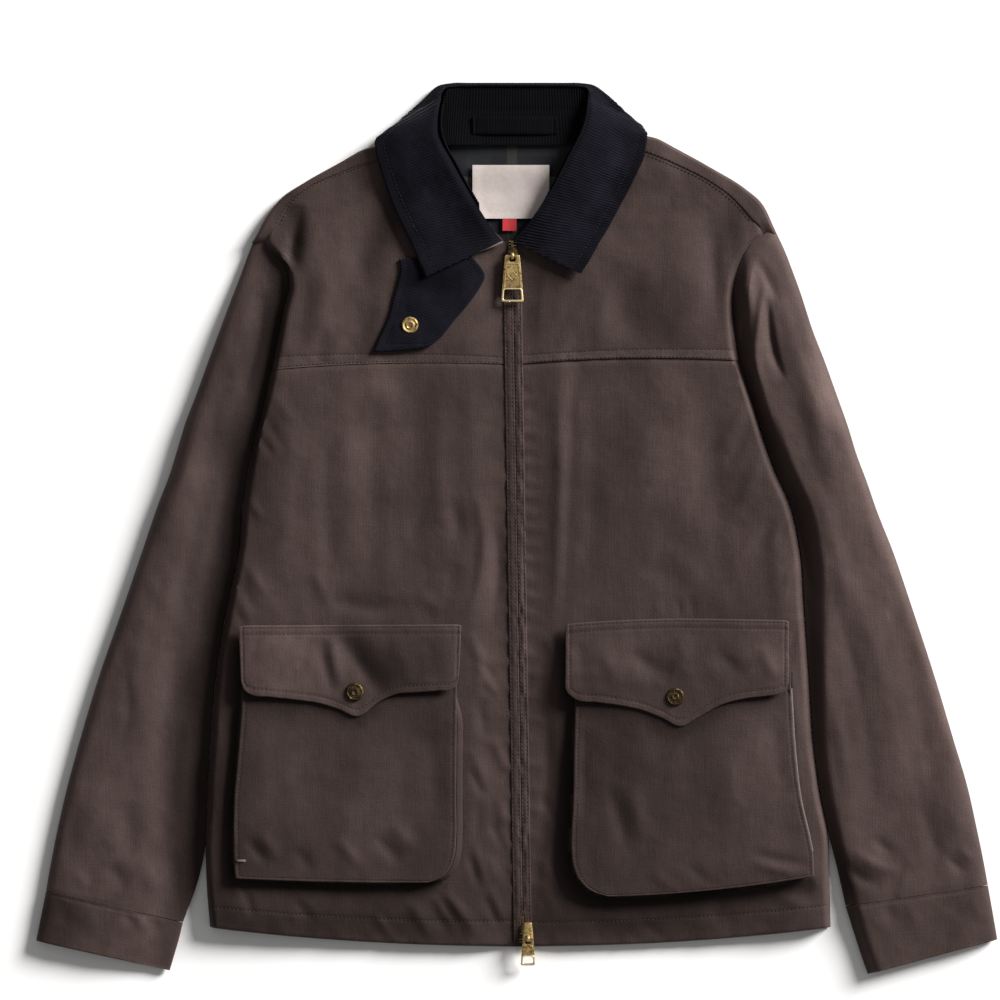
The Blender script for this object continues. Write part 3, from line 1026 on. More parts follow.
def make_front(side):
    dense, from_hem, from_top = lofted(front_rows(side), GRID, HEM_ROWS, SEAM_ROWS)
    x, y, _, b = spread_over(dense, GRID, ZIP_COLUMNS, SIDE_COLUMNS)
    hem = from_hem[:, None]
    z = body_height(x, y) + groove(hem, HEM_STITCH, 0.28, 0.9) - 2.4 * (1 - rounded(hem, 2.4))
    z += 0.10 * np.exp(-((hem - 10) / 7) ** 2) + 0.3 * speckle(x, y, 9) * ramp(hem, 30, 8)
    z -= 0.9 * ramp(from_top[:, None], 7, 3.5)
    rub = 0.5 * ramp(hem, 3.5, 0) + 0.35 * ramp(b, 6, 0)
    cloth("front_cloth_" + side, [lifted(x, y, z)], WALL, WAX, ["front_" + side], flip=side == "right",
          rub=rub, tone="body")


def yoke_rows(side):
    """A yoke from its seam to the neck and the shoulder seam, from the zip guard to the armhole."""
    armhole = ARMHOLE[side][YOKE_POINT::-1]
    tuck = sign_of(side) * GUARD_LAP
    rows = [Row(front_inner_x(side, level) - tuck, level, point.x, point.y, bow)
            for level, bow, point in zip(YOKE_INNER_LEVELS, (3.5, 1.0, 0.0, 0.0, 0.0), armhole)]
    outer = [armhole[-1]] + SHOULDER_SEAM[side]
    return rows + [Row(start.x, start.y, end.x, end.y) for start, end in zip(YOKE_INNER[side], outer)]


def yoke_height(x, y, from_seam, from_shoulder):
    z = body_height(x, y) + groove(from_seam, YOKE_STITCH, 0.3, 0.6)
    z += (-0.3 + 0.9 * ramp(x, -60, 40)) * rounded(from_seam, 1.0) * ramp(from_seam, 40, 6)
    z += 0.28 * speckle(x * 1.6, y, 7) * ramp(from_seam, 12, 4)
    return z - 0.5 * ramp(from_shoulder, 1.2, 0)


def make_yoke(side):
    dense, from_seam, from_top = lofted(yoke_rows(side), GRID, YOKE_ROWS, (0, 0.5, 1.2, 2.2, 4))
    x, y, _, b = spread_over(dense, GRID, ZIP_COLUMNS, (0, 0.5, 1.2, 2.4, 4, 6, 9, 14))
    seam, top = from_seam[:, None], from_top[:, None]
    rub = 0.55 * ramp(seam, 12, 3) * (0.45 + 0.55 * ramp(x, -60, 120)) + 0.3 * ramp(b, 5, 0)
    rub = rub + 0.3 * ramp(top, 4, 0)
    cloth("yoke_cloth_" + side, [lifted(x, y, yoke_height(x, y, seam, top))], WALL, WAX, ["yoke_" + side],
          flip=side == "right", rub=np.clip(rub, 0, 1), tone="body")


WRAP_STEPS = 11
WRAP_FLAT_SHARES = (0.12, 0.3, 0.5, 0.7, 0.84, 0.93, 0.975, 1.0)


def wrap_row(row, sunk):
    """One row of the shoulder: from underneath, round the fold, and over the top to the seam."""
    ax, ay, bx, by = row[:4]
    out = np.array([ax - bx, ay - by])
    length = np.linalg.norm(out)
    out /= length
    low, top = float(neck_lift(bx, by)), float(body_form(bx, by))
    middle, radius = (low + top) / 2, (top - low) / 2
    points = []
    for k in range(WRAP_STEPS):
        angle = -math.pi / 2 + math.pi * k / (WRAP_STEPS - 1)
        inset = 0.8 * radius * (1 - math.cos(angle))
        points.append((ax - out[0] * inset, ay - out[1] * inset, middle + radius * math.sin(angle)))
    begin = 1.6 * radius
    for share in WRAP_FLAT_SHARES:
        d = begin + (max(length, begin + 2.0) - begin) * share
        x, y = ax - out[0] * d, ay - out[1] * d
        lap = 0.45 * float(ramp(length - d, 12, 1.5)) - 0.5 * float(ramp(length - d, 0.7, 0))
        z = max(top, float(body_form(x, y))) + lap - sunk + 0.3 * float(speckle(x, y, 14))
        points.append((x, y, z))
    return points


def shoulder_wrap(side):
    """The back's forward edge: flat underneath, round the shoulder's fold, and on to the shoulder seam."""
    s = sign_of(side)
    tip = ARMHOLE[side][0]
    seams = listed(Point, (tip.x - s * 2.0, tip.y - 2.5), (tip.x - s * 3.0, tip.y + 5.0))
    seams += SHOULDER_SEAM[side] + [YOKE_INNER[side][-1]]
    folds = [Point(tip.x + s * 12.5, tip.y + 0.5)] + SHOULDER_FOLD[side]
    dense, _, _ = lofted([Row(*fold, *seam) for fold, seam in zip(folds, seams)], 4.0)
    return np.array([wrap_row(row, 2.4 * float(ramp(index, 5, 0))) for index, row in enumerate(dense)])


def back_rows(side, wrap):
    """Half of the back from its middle to its outline, and on up to the shoulder's fold."""
    outline = OUTLINE[side]
    seam_levels = np.interp(BACK_LEVELS, [HEM_Y, 80, 106, 264], [-357, 82, 106, 257])
    levels = np.concatenate([BACK_LEVELS, np.linspace(272, BACK_NECK_Y, len(wrap))])
    outer = [(float(np.interp(v, outline[:, 1], outline[:, 0])), v) for v in seam_levels]
    outer += [(row[0][0], row[0][1]) for row in wrap]
    hem = levels == HEM_Y
    return np.array([[0, level - (0.8 if low else 0), point[0], point[1], -4.0 if low else 0.0]
                     for level, point, low in zip(levels, outer, hem)])


def make_back():
    grids = []
    for side in ("left", "right"):
        wrap = shoulder_wrap(side)
        x, y, _, b = spread_over(back_rows(side, wrap), 14.0, (0,), (0, 1, 3, 7))
        z = neck_lift(x, y) + 1.4 * (1 - rounded(b, 3)) * ramp(y, 268, 256)
        grid = lifted(x, y, z)
        grid[-len(wrap):, -1] = wrap[:, 0]
        if side == "left":
            grid, wrap = grid[:, ::-1], wrap[:, ::-1]
        grids += [grid, wrap]
    cloth("back_cloth", grids, WALL, WAX, ["back"], even=False,
          tone="body")


# ---------------------------------------------------------------- sleeves and cuffs

# How a sleeve rises from the body's side: the share that rises at once, where the rest begins and ends, how
# far it falls again towards its outer side, and how far its underarm seam lies below the armhole's.
Rise = namedtuple("Rise", "at_once start end fall ease")
SLEEVE_RISE = {"left": Rise(0.10, 1.5, 21, 2.6, 15), "right": Rise(0.06, 10, 62, 0.0, 46)}


def tube(side, dense, openness, peak, folds, proud=0.0):
    """Rings round a flattened tube: over the top from A to B and back underneath, on the surface."""
    shift = sign_of(side) * 0.35
    rise = SLEEVE_RISE[side]
    valley = ARMHOLE_VALLEY[side]
    x, y, a, b = spread_over(dense, GRID, TUBE_COLUMNS, TUBE_COLUMNS)
    peak, openness = peak[:, None], openness[:, None]
    nearer = a * (1 + 0.9 * ramp(y, -60, -220)) if side == "left" else a
    closed_side = rise.at_once * rounded(a, 3) + (1 - rise.at_once) * ramp(nearer, rise.start, rise.end)
    low = valley + (7.6 - valley) * ramp(y[:, :1], *VALLEY_ENDS)
    open_side = (low - SLEEVE_MID) / (peak - SLEEVE_MID)
    open_side = open_side + (1 - open_side) * eased(a, rise.ease)
    inner = closed_side * (1 - openness) + open_side * openness
    outer = 0.74 * rounded(b, 9.5) + 0.26 * eased(b, 34)
    z = SLEEVE_MID + (peak - SLEEVE_MID - rise.fall * ramp(a, 18, 110)) * inner * outer
    fade = ramp(b, 0, 14) * np.maximum(ramp(a, 0, 10), openness * 0.6)
    wrinkle = 0.6 * speckle(x * 1.2, y * 0.5, 27) + 0.2 * speckle(x, y * 0.7, 11) + 0.07 * speckle(x, y, 5)
    z += fade * (FOLD_GAIN * creases(x, y, folds) + WRINKLE_GAIN * wrinkle)
    z += proud * np.minimum(rounded(a, 4), rounded(b, 4))
    top = lifted(x + shift, y, np.maximum(z, 2.6))
    x, y, a, b = spread_over(dense, 9.0, TUBE_UNDER_COLUMNS, TUBE_UNDER_COLUMNS)
    drop = rounded(b, 6.5) * (rounded(a, 6.5) * (1 - openness) + openness)
    low = lifted(x + shift, y, SLEEVE_MID * (1 - drop))
    return np.concatenate([top, low[:, ::-1][:, 1:]], axis=1)


def make_sleeve(side):
    inner = ARMHOLE[side] + SIDE[side][:SIDE_POINTS_BY_SLEEVE] + SLEEVE_INNER_END[side]
    rows = [Row(*a, *b) for a, b in zip(inner, SLEEVE_OUTER[side])]
    dense, from_head, from_end = lofted(rows, GRID, (0, 1.2, 2.6), (0, 0.5, 1.4, 2.8))
    armpit = from_head[np.argmin(np.abs(dense[:, 1] - ARMHOLE[side][-1].y))]
    openness = ramp(from_head, armpit + 44, armpit - 12)
    peak = 15.0 - 2.6 * ramp(from_head, 250, 560) - 5.4 * ramp(from_head, 90, 0)
    peak = peak - 0.7 * ramp(from_end, 5, 0)
    ring = tube(side, dense, openness, peak, SLEEVE_FOLDS[side])
    rub = np.broadcast_to(0.25 * ramp(from_end, 10, 0)[:, None], ring.shape[:2])
    cloth("sleeve_cloth_" + side, [ring], WALL, WAX, ["sleeve_" + side], flip=side == "left", rub=rub,
          even=False, tone="sleeve_" + side)


def make_cuff(side):
    dense, from_seam, from_end = lofted(CUFF[side], GRID, CUFF_ROWS, (0, 0.3, 0.9, 1.8, 3.2))
    peak = 12.6 - 0.9 * ramp(from_seam, 0, 30) - 0.9 * (1 - rounded(from_end, 2.0))
    peak = peak + groove(from_seam, 1.6, 0.5, 0.7)
    ring = tube(side, dense, np.zeros(len(dense)), peak, CUFF_FOLDS[side], proud=0.5)
    rub = 0.7 * ramp(from_end, 3.5, 0) + 0.3 * ramp(from_seam, 3, 0)
    cloth("cuff_cloth_" + side, [ring], FOLDED, WAX, ["cuff_" + side], flip=side == "left",
          rub=np.broadcast_to(rub[:, None], ring.shape[:2]),
          even=False, tone="cuff_" + side)


# ---------------------------------------------------------------- the zip

def guard_edge(y):
    """How far from the zip a guard's inner edge lies at each level."""
    return 0.15 + SPLIT_WIDTH * ramp(y, *SPLIT)


def guard_z(x, y, from_inner, from_outer):
    """Height of a zip guard, with a row of stitching along each of its edges."""
    bow = 0.2 * np.sin(np.pi * np.clip(from_inner / (from_inner + from_outer), 0, 1))
    ripple = 0.22 * speckle(x * 2, y * 1.3, 6) + 0.16 * speckle(x, y, 17)
    edges = -0.6 * (1 - rounded(from_inner, 0.7)) - 0.5 * (1 - rounded(from_outer, 0.6))
    z = GUARD_TOP - hem_droop(y) + bow + ripple + edges
    z += 0.5 * ramp(x, -6, 6) * speckle(x * 3, y, 9)
    z = z + groove(from_inner, GUARD_INNER_STITCH, 0.25, 0.45)
    return z + groove(from_outer, GUARD_OUTER_STITCH, 0.3, 0.45)


def make_guard(side, width):
    y = np.arange(HEM_Y - 0.2, GUARD_END_Y + 1.2, 1.6)
    near = guard_edge(y)[:, None]
    out = near + (width - near) * np.array(GUARD_SHARES)
    x = zip_x(y)[:, None] + sign_of(side) * out
    y = np.broadcast_to(y[:, None], x.shape)
    z = guard_z(x, y, out - near, width - out)
    edge = ramp(out - near, 1.3, 0) + ramp(width - out, 1.3, 0)
    cloth("zip_guard_cloth_" + side, [lifted(x, y, z)], 1.1, WAX, ["zip_guard_" + side],
          flip=side == "right", rub=0.18 * np.clip(edge, 0, 1),
          tone="body")


def make_tape(side):
    y = np.arange(HEM_Y + 1.5, 262, 4.0)
    x = zip_x(y)[:, None] + sign_of(side) * np.array(TAPE_COLUMNS)
    y = np.broadcast_to(y[:, None], x.shape)
    cloth("zip_tape_cloth_" + side, [lifted(x, y, 5.6 - hem_droop(y))], 0.8, TAPE, ["zip_tape_" + side],
          "zip_tape", flip=side == "right")


def make_zip():
    for side, width in (("left", GUARD_LEFT), ("right", GUARD_RIGHT)):
        make_guard(side, width)
        make_tape(side)
    make_teeth()


TOOTH_PITCH = 2.5
TOOTH = [(3.4, -0.55), (3.4, 0.55), (0.9, 0.42), (-0.9, 0.62), (-1.5, 0.0), (-0.9, -0.62), (0.9, -0.42)]


def prism(mesh, outline, low, high):
    """Adds an outline in X and Y as a solid from low to high."""
    skin(mesh, [[mesh.verts.new((x * MM, y * MM, z * MM)) for x, y in outline] for z in (low, high)])


def make_teeth():
    mesh = bmesh.new()
    for k, y in enumerate(np.arange(HEM_Y + 3.5, 260, TOOTH_PITCH / 2)):
        s = 1 if k % 2 else -1
        x = float(zip_x(y)) + s * float(ramp(y, -352, -374)) * 0.5
        droop = float(hem_droop(y))
        prism(mesh, [(x + s * px, y + s * py) for px, py in TOOTH], 4.1 - droop, 6.5 - droop)
    teeth = new_object("zip_teeth", finished("zip_teeth", mesh), BRASS, ["zip_chain"])
    bevel = teeth.modifiers.new("Bevel", "BEVEL")
    bevel.width = 0.15 * MM
    bevel.segments = 1
    bevel.limit_method = "ANGLE"


def rounded_outline(corners, radius, steps=6):
    """The outline through some corners, with each of them rounded off."""
    outline = []
    corners = [np.array(corner, float) for corner in corners]
    for k, here in enumerate(corners):
        before, after = corners[k - 1], corners[(k + 1) % len(corners)]
        start = here + (before - here) / np.linalg.norm(before - here) * radius
        end = here + (after - here) / np.linalg.norm(after - here) * radius
        for s in range(steps + 1):
            t = s / steps
            outline.append(tuple(start * (1 - t) ** 2 + here * 2 * t * (1 - t) + end * t ** 2))
    return outline


def stamped(name, outlines, low, high, bevel, place, tilt=0.0):
    """A flat metal part with bevelled edges and holes: the first outline is its edge, the rest its holes."""
    curve = bpy.data.curves.new(name, "CURVE")
    curve.dimensions = "2D"
    curve.fill_mode = "BOTH"
    for outline in outlines:
        spline = curve.splines.new("POLY")
        spline.points.add(len(outline) - 1)
        for point, (x, y) in zip(spline.points, outline):
            point.co = (x * MM, y * MM, 0, 1)
        spline.use_cyclic_u = True
    curve.extrude = ((high - low) / 2 - bevel) * MM
    curve.bevel_depth = bevel * MM
    curve.bevel_resolution = 2
    curve.offset = -bevel * MM
    holder = bpy.data.objects.new(name + "_outline", curve)
    bpy.context.scene.collection.objects.link(holder)
    bpy.context.view_layer.update()
    data = bpy.data.meshes.new_from_object(holder.evaluated_get(bpy.context.evaluated_depsgraph_get()))
    bpy.data.objects.remove(holder)
    c, s = math.cos(tilt), math.sin(tilt)
    middle = (low + high) / 2 * MM
    for v in data.vertices:
        x, y, z = v.co.x, v.co.y, v.co.z + middle
        v.co = (x + place[0] * MM, y * c - z * s + place[1] * MM, y * s + z * c + place[2] * MM)
    data.name = name
    return data


def joined(name, parts):
    """Several parts as one mesh, smooth but for its sharp edges."""
    mesh = bmesh.new()
    for part in parts:
        mesh.from_mesh(part)
    bmesh.ops.remove_doubles(mesh, verts=mesh.verts, dist=1e-6)
    data = finished(name, mesh, outwards=False)
    data.shade_smooth()
    data.set_sharp_from_angle(angle=math.radians(38))
    return data


Pull = namedtuple("Pull", "length half_bar half_end far near rim")
TOP_PULL = Pull(length=41.5, half_bar=6.6, half_end=10.3, far=-39.4, near=-30.0, rim=1.9)
BOTTOM_PULL = Pull(length=25.0, half_bar=4.8, half_end=6.5, far=-23.3, near=-16.5, rim=1.6)


def diamond(middle, reach):
    return [(0, middle - reach), (reach, middle), (0, middle + reach), (-reach, middle)]


def make_pull(name, node, hinge, pull, tilt):
    """The pull tab: its plate with the eye and the window, and a raised plain border on each face."""
    widening = (pull.half_end - pull.half_bar) / (pull.length + 1.0)

    def tapered(low, high, rim):
        """The plate's outline between two levels, in from its sides by the rim."""
        narrow, wide = [pull.half_bar - widening * y - rim for y in (high, low)]
        return [(-wide, low), (wide, low), (narrow, high), (-narrow, high)]

    def plate(part, edge, edge_round, hole, hole_round, low, high, bevel):
        outlines = [rounded_outline(edge, edge_round), rounded_outline(hole, hole_round)[::-1]]
        return stamped(name + part, outlines, low, high, bevel, hinge, tilt)

    corners = [(-pull.half_end, -pull.length), (pull.half_end, -pull.length), (pull.half_bar, 1.0),
               (-pull.half_bar, 1.0)]
    eye = [(-2.8, -5.2), (2.8, -5.2), (2.8, -1.0), (-2.8, -1.0)]
    window = tapered(pull.far, pull.near, pull.rim)
    outlines = [rounded_outline(corners, 1.6), rounded_outline(eye, 1.0)[::-1],
                rounded_outline(window, 1.2)[::-1]]
    parts, rims = [stamped(name, outlines, -0.8, 0.8, 0.32, hinge, tilt)], []
    top, low = -6.6, pull.near + 1.2
    middle = (top + low) / 2
    reach = min(pull.half_bar - widening * middle - 3.4, (top - low) / 2 - 1.6)
    border, panel = tapered(low, top, 1.2), tapered(low + 0.8, top - 0.8, 2.0)
    loop = tapered(pull.far - 1.7, pull.near + 1.0, 0.3)
    for sign in (1, -1):
        low_z, high_z = sorted((sign * 0.7, sign * 1.05))
        parts.append(plate("_rim", border, 1.0, panel, 0.8, low_z, high_z, 0.1))
        parts.append(plate("_mark", diamond(middle, reach), 0.5, diamond(middle, reach - 1.1), 0.4, low_z,
                           high_z, 0.1))
        low_z, high_z = sorted((sign * 0.5, sign * 1.3))
        rims.append(plate("_loop", loop, 2.0, window, 1.6, low_z, high_z, 0.35))
    new_object(name, joined(name, parts), BRASS, [node], body=node)
    new_object(name + "_loop", joined(name + "_loop", rims), POLISHED, body=node)


def crown_path():
    """The crown's arch from foot to foot: how far along the zip and up, and which way is outwards."""
    feet = (CROWN_FOOT_DEPTH, CROWN_FOOT_DEPTH / 2)
    path = [(CROWN_REACH, -depth, (1, 0)) for depth in feet]
    for k in range(CROWN_STEPS + 1):
        angle = math.pi * k / CROWN_STEPS
        normal = (math.cos(angle), math.sin(angle))
        path.append((CROWN_REACH * normal[0], CROWN_REACH * normal[1], normal))
    return path + [(-CROWN_REACH, -depth, (-1, 0)) for depth in feet[::-1]]


def crown_mesh(name, hinge):
    """The arched wire over the slider that holds the pull, flat and rounded in section."""
    mesh = bmesh.new()
    rings = []
    for at, up, normal in crown_path():
        ring = []
        for j in range(CROWN_SIDES):
            turn = 2 * math.pi * j / CROWN_SIDES
            across, out = 1.45 * math.cos(turn), 0.6 * math.sin(turn)
            place = (across, at + normal[0] * out, up + normal[1] * out)
            ring.append(mesh.verts.new([(h + p) * MM for h, p in zip(hinge, place)]))
        rings.append(ring)
    skin(mesh, rings)
    return finished(name, mesh)


def make_slider(name, node, hinge, towards, offset):
    """The slider: its body over the teeth, a ridge on its top, and the crown that holds the pull."""
    top = hinge[2] - CROWN_BORE
    wide, narrow = 8.5 * towards, -8.5 * towards
    corners = [(-3.4, narrow), (3.4, narrow), (4.8, wide * 0.55), (4.2, wide), (-4.2, wide),
               (-4.8, wide * 0.55)]
    if towards < 0:
        corners = corners[::-1]
    outline = rounded_outline(corners, 1.4)
    ridge = [(x * 0.78, y * 0.8) for x, y in outline]
    centre = (hinge[0], hinge[1] + offset, 0)
    parts = [stamped(name, [outline], top - 2.2, top, 0.45, centre),
             stamped(name + "_ridge", [ridge], top - 0.3, top + 0.35, 0.2, centre)]
    crown = crown_mesh(name + "_crown", hinge)
    new_object(name, joined(name, parts), DARK_BRASS if towards > 0 else BRASS, [node])
    new_object(name + "_crown", joined(name + "_crown", [crown]), BRASS)


# ---------------------------------------------------------------- pockets

def pocket_rise(side, y):
    """How far the bag's face stands off the front at each level."""
    mouth, bottom = POCKET_RISE[side]
    return mouth + (bottom - mouth) * ramp(y, -120, -310) + 0.5 * hem_droop(y) - 3.2 * ramp(y, -160, -132)


def pocket_height(side, x, y, from_a, from_b, from_bottom):
    """The bag's outer face, from how far each point is in from the bag's edges."""
    edge = np.minimum(np.minimum(from_a, from_b), from_bottom)
    z = body_form(x, y) + pocket_rise(side, y) + POCKET_CROWN * ramp(edge, 2, 60)
    z = z + 0.4 * speckle(x, y * 0.8, 26) + 0.16 * speckle(x, y, 9)
    z = z + 1.4 * creases(x, y, BAG_FOLDS[side]) * ramp(edge, 0, 10)
    z = z - 0.9 * (1 - rounded(edge, 1.0)) + groove(edge, POCKET_STITCH, 0.28, 0.6)
    return z + 0.2 * speckle(x * 1.5, y * 1.5, 6) * ramp(edge, 10, 2)


def make_pocket(side):
    dense, _, from_bottom = lofted(POCKET[side], GRID, (0,), POCKET_COLUMNS)
    x, y, a, b = spread_over(dense, GRID, POCKET_COLUMNS, POCKET_COLUMNS)
    z = pocket_height(side, x, y, a, b, from_bottom[:, None])
    edge = np.minimum(np.minimum(a, b), from_bottom[:, None])
    cloth("pocket_cloth_" + side, [lifted(x, y, z)], WALL, WAX, ["pocket_face_" + side],
          flip=side == "left", rub=0.42 * ramp(edge, 2.2, 0.2),
          tone="pocket_" + side)


def pocket_outline(side):
    """The bag's outline from its mouth down one side, round the bottom and up the other."""
    dense, _, _ = lofted(POCKET[side], 5.0)
    down, up = dense[:, 0:2], dense[::-1, 2:4]
    t = np.linspace(0, 1, 26)[1:-1, None]
    bottom = down[-1] + (up[0] - down[-1]) * t
    bottom[:, 1] += dense[-1][4] * 4 * (t * (1 - t))[:, 0]
    return np.concatenate([down, bottom, up])


def inward_of(path, side):
    """The direction into the bag at each point of its outline."""
    tangent = np.gradient(path, axis=0)
    tangent /= np.linalg.norm(tangent, axis=1, keepdims=True)
    return np.stack([-tangent[:, 1], tangent[:, 0]], axis=1) * sign_of(side)


# How far in the gusset lies, at which share of its height, and how far in where it peeps out.
GUSSET_SECTION = [(1.4, 1.0, -0.6), (1.0, 0.86, -4.2), (1.7, 0.7, -5.6), (3.4, 0.55, -5.6),
                  (3.2, 0.42, -3.4), (1.4, 0.25, 1.4), (0.6, 0.1, 0.6), (1.0, 0.0, 1.0)]


def make_gusset(side):
    """The bellows round the bag: folded inwards at mid height between the front and the bag's face."""
    path = pocket_outline(side)
    x, y = path[:, 0], path[:, 1]
    inward = inward_of(path, side)
    peek = ramp(x, -84, -58) * ramp(y, -140, -175) if side == "right" else np.zeros(len(path))
    low = body_height(x, y) + 0.3
    high = body_form(x, y) + pocket_rise(side, y) - 3.2
    high = high + 1.8 * peek
    grid = []
    for inset, share, out in GUSSET_SECTION:
        p = path + inward * (inset + (out - inset) * peek)[:, None]
        grid.append(np.column_stack([p, low + (high - low) * share]))
    nodes = ["gusset_%s_%s" % (part, side) for part in ("inner", "outer", "bottom")]
    cloth("gusset_cloth_" + side, [np.array(grid)], 0.9, WAX, nodes, flip=side == "left", even=False,
          tone="gusset")


def flap_height(side, x, y, from_top, from_tip, from_a, from_b):
    """The flap's outer face, from how far each point is in from its seam, its point and its ends."""
    rise = FLAP_START + (FLAP_RISE - FLAP_START) * ramp(from_top, 1, FLAP_RISE_REACH)
    edge = np.minimum(np.minimum(from_a, from_b), from_tip)
    z = body_form(x, y) + rise + 0.8 * ramp(edge, 2, 40)
    z += 0.4 * speckle(x, y * 0.9, 24) + 0.16 * speckle(x, y, 8)
    z += 1.3 * creases(x, y, FLAP_FOLDS[side]) * ramp(edge, 0, 12) * ramp(from_top, 4, 16)
    z += -0.9 * (1 - rounded(edge, 1.0)) + groove(edge, FLAP_STITCH, 0.32, 0.6)
    z += -1.0 * (1 - rounded(from_top, 1.6))
    for distance, depth in zip(FLAP_SEAM_STITCHES, (0.35, 0.3)):
        z += groove(from_top, distance, depth, 0.6)
    return z + 0.2 * speckle(x * 1.6, y * 1.6, 6) * ramp(edge, 12, 3)


def make_flap(side):
    dense, from_a, from_b = lofted(FLAP[side], 2.6, FLAP_END_ROWS, FLAP_END_ROWS)
    x, y, a, b = spread_over(dense, 2.8, FLAP_SEAM_COLUMNS, FLAP_POINT_COLUMNS)
    from_a, from_b = from_a[:, None], from_b[:, None]
    z = flap_height(side, x, y, a, b, from_a, from_b)
    edge = np.minimum(np.minimum(from_a, from_b), b)
    rub = np.clip(0.45 * ramp(edge, 2.2, 0.2) + 0.4 * ramp(a, 2.4, 0.2), 0, 1)
    cloth("pocket_flap_cloth_" + side, [lifted(x, y, z)], FOLDED, WAX, ["pocket_flap_" + side],
          flip=side == "right", rub=rub,
          tone="flap_" + side)


def turned(name, profile, at, segments=56):
    """A solid of revolution about +Z from (radius, height) pairs, from its axis at the top and round."""
    mesh = bmesh.new()
    rings = []
    for radius, height in profile:
        ring = []
        for k in range(1 if radius == 0 else segments):
            angle = 2 * math.pi * k / segments
            ring.append(mesh.verts.new(((at[0] + radius * math.cos(angle)) * MM,
                                        (at[1] + radius * math.sin(angle)) * MM, (at[2] + height) * MM)))
        rings.append(ring)
    for upper, lower in zip(rings[:-1], rings[1:]):
        for k in range(segments):
            n = (k + 1) % segments
            if len(upper) == 1:
                mesh.faces.new((upper[0], lower[k], lower[n]))
            elif len(lower) == 1:
                mesh.faces.new((upper[k], lower[0], upper[n]))
            else:
                mesh.faces.new((upper[k], lower[k], lower[n], upper[n]))
    return finished(name, mesh, outwards=False)


def dots(at, ring, count, radius, height):
    """A ring of small round studs."""
    parts = []
    for k in range(count):
        angle = 2 * math.pi * k / count
        centre = (at[0] + ring * math.cos(angle), at[1] + ring * math.sin(angle), at[2])
        parts.append(turned("dot", [(0, height), (radius * 0.7, height * 0.7), (radius, 0)], centre, 8))
    return parts


def body_at(place):
    """Height of the body's face at a place."""
    return float(body_height(np.array([float(place.x)]), np.array([float(place.y)]))[0])


def flap_at(side, place):
    """Height of the flap's face at a place, taken as well in from all its edges."""
    x, y, from_top, from_tip, from_end = [np.array([v]) for v in (place.x, place.y, 50.0, 15.0, 60.0)]
    return float(flap_height(side, x, y, from_top, from_tip, from_end, from_end)[0])


SNAP_PROFILE = [(0, 2.2), (1.6, 2.2), (2.2, 2.55), (3.0, 2.55), (3.4, 2.15), (5.9, 1.95), (6.4, 2.35),
                (7.2, 2.25), (7.9, 1.6), (8.3, 0.9), (8.2, 0.0), (7.6, -0.9), (0, -0.9)]
THROAT_RING_PROFILE = [(2.3, 0.2), (2.4, 1.5), (3.0, 2.0), (3.9, 1.75), (4.3, 1.2), (5.2, 1.35),
                       (6.2, 1.75), (7.1, 1.45), (7.5, 0.6), (7.2, -0.6), (2.3, -0.6), (2.3, 0.2)]
THROAT_CUP_PROFILE = [(0, 0.35), (2.35, 0.3)]


def make_flap_snap(side):
    """The closed snap's cap, with a ring of small studs round its middle."""
    at = SNAP_AT[side]
    height = flap_at(side, at)
    parts = [turned("cap", SNAP_PROFILE, (at.x, at.y, height))]
    parts += dots((at.x, at.y, height + 1.95), 4.7, 18, 0.55, 0.38)
    new_object("snap_cap_" + side, joined("snap_cap_" + side, parts), AGED, ["flap_snap_" + side])


def make_hand_opening():
    """A thin line of pale lining along the left bag's outer edge, at the hand opening."""
    dense, _, _ = lofted(POCKET["left"][1:6], 4.0)
    x, y = dense[:, 2], dense[:, 3]
    low = body_height(x + 2, y)
    section = ((-1.2, 4.2), (-0.4, 4.5), (0.1, 4.2), (0.4, 2.6), (0.4, 0.6))
    grid = np.array([np.column_stack([x + out, y, low + up]) for out, up in section])
    cloth("hand_opening_lining", [grid], 0.6, TAN, ["pocket_lining_left"], "pale_lining", flip=True,
          even=False)


# ---------------------------------------------------------------- collar, throat and neck

def wales(phase):
    """Rounded cords with narrow grooves between, as a height from 0 to 1."""
    return np.abs(np.sin(np.pi * phase)) ** 0.8


FALL_COLUMNS = 40               # points over a section of the fall, and underneath where it is folded
FALL_UNDER_COLUMNS = 12
FALL_STITCH = 0.86 * FALL_COLUMNS       # the column that the fall's stitching follows
FALL_LEVEL_FROM = 372.0
FALL_BACK = (352, 378)          # where the fall's edge turns from the leaf to the back
LEAF_WALE_RADIUS = 365.0        # where the leaves' fan of wales has its proper pitch
WALES_TURN = (11, 12, 14)       # the sections where the wales begin, match and end their turn
COLLAR_STEP = 0.62              # from section to section, four to a wale


def edge_level(edge):
    """Height of the fall's edge: clear of the yoke on the leaves, and level round the back."""
    level = 6.0
    if edge[1] < FALL_LEVEL_FROM:
        level = max(float(body_form(*edge)) + LEAF_CLEAR, level)
    at_back = float(ramp(edge[1], *FALL_BACK))
    return level * (1 - at_back) + 6.4 * at_back


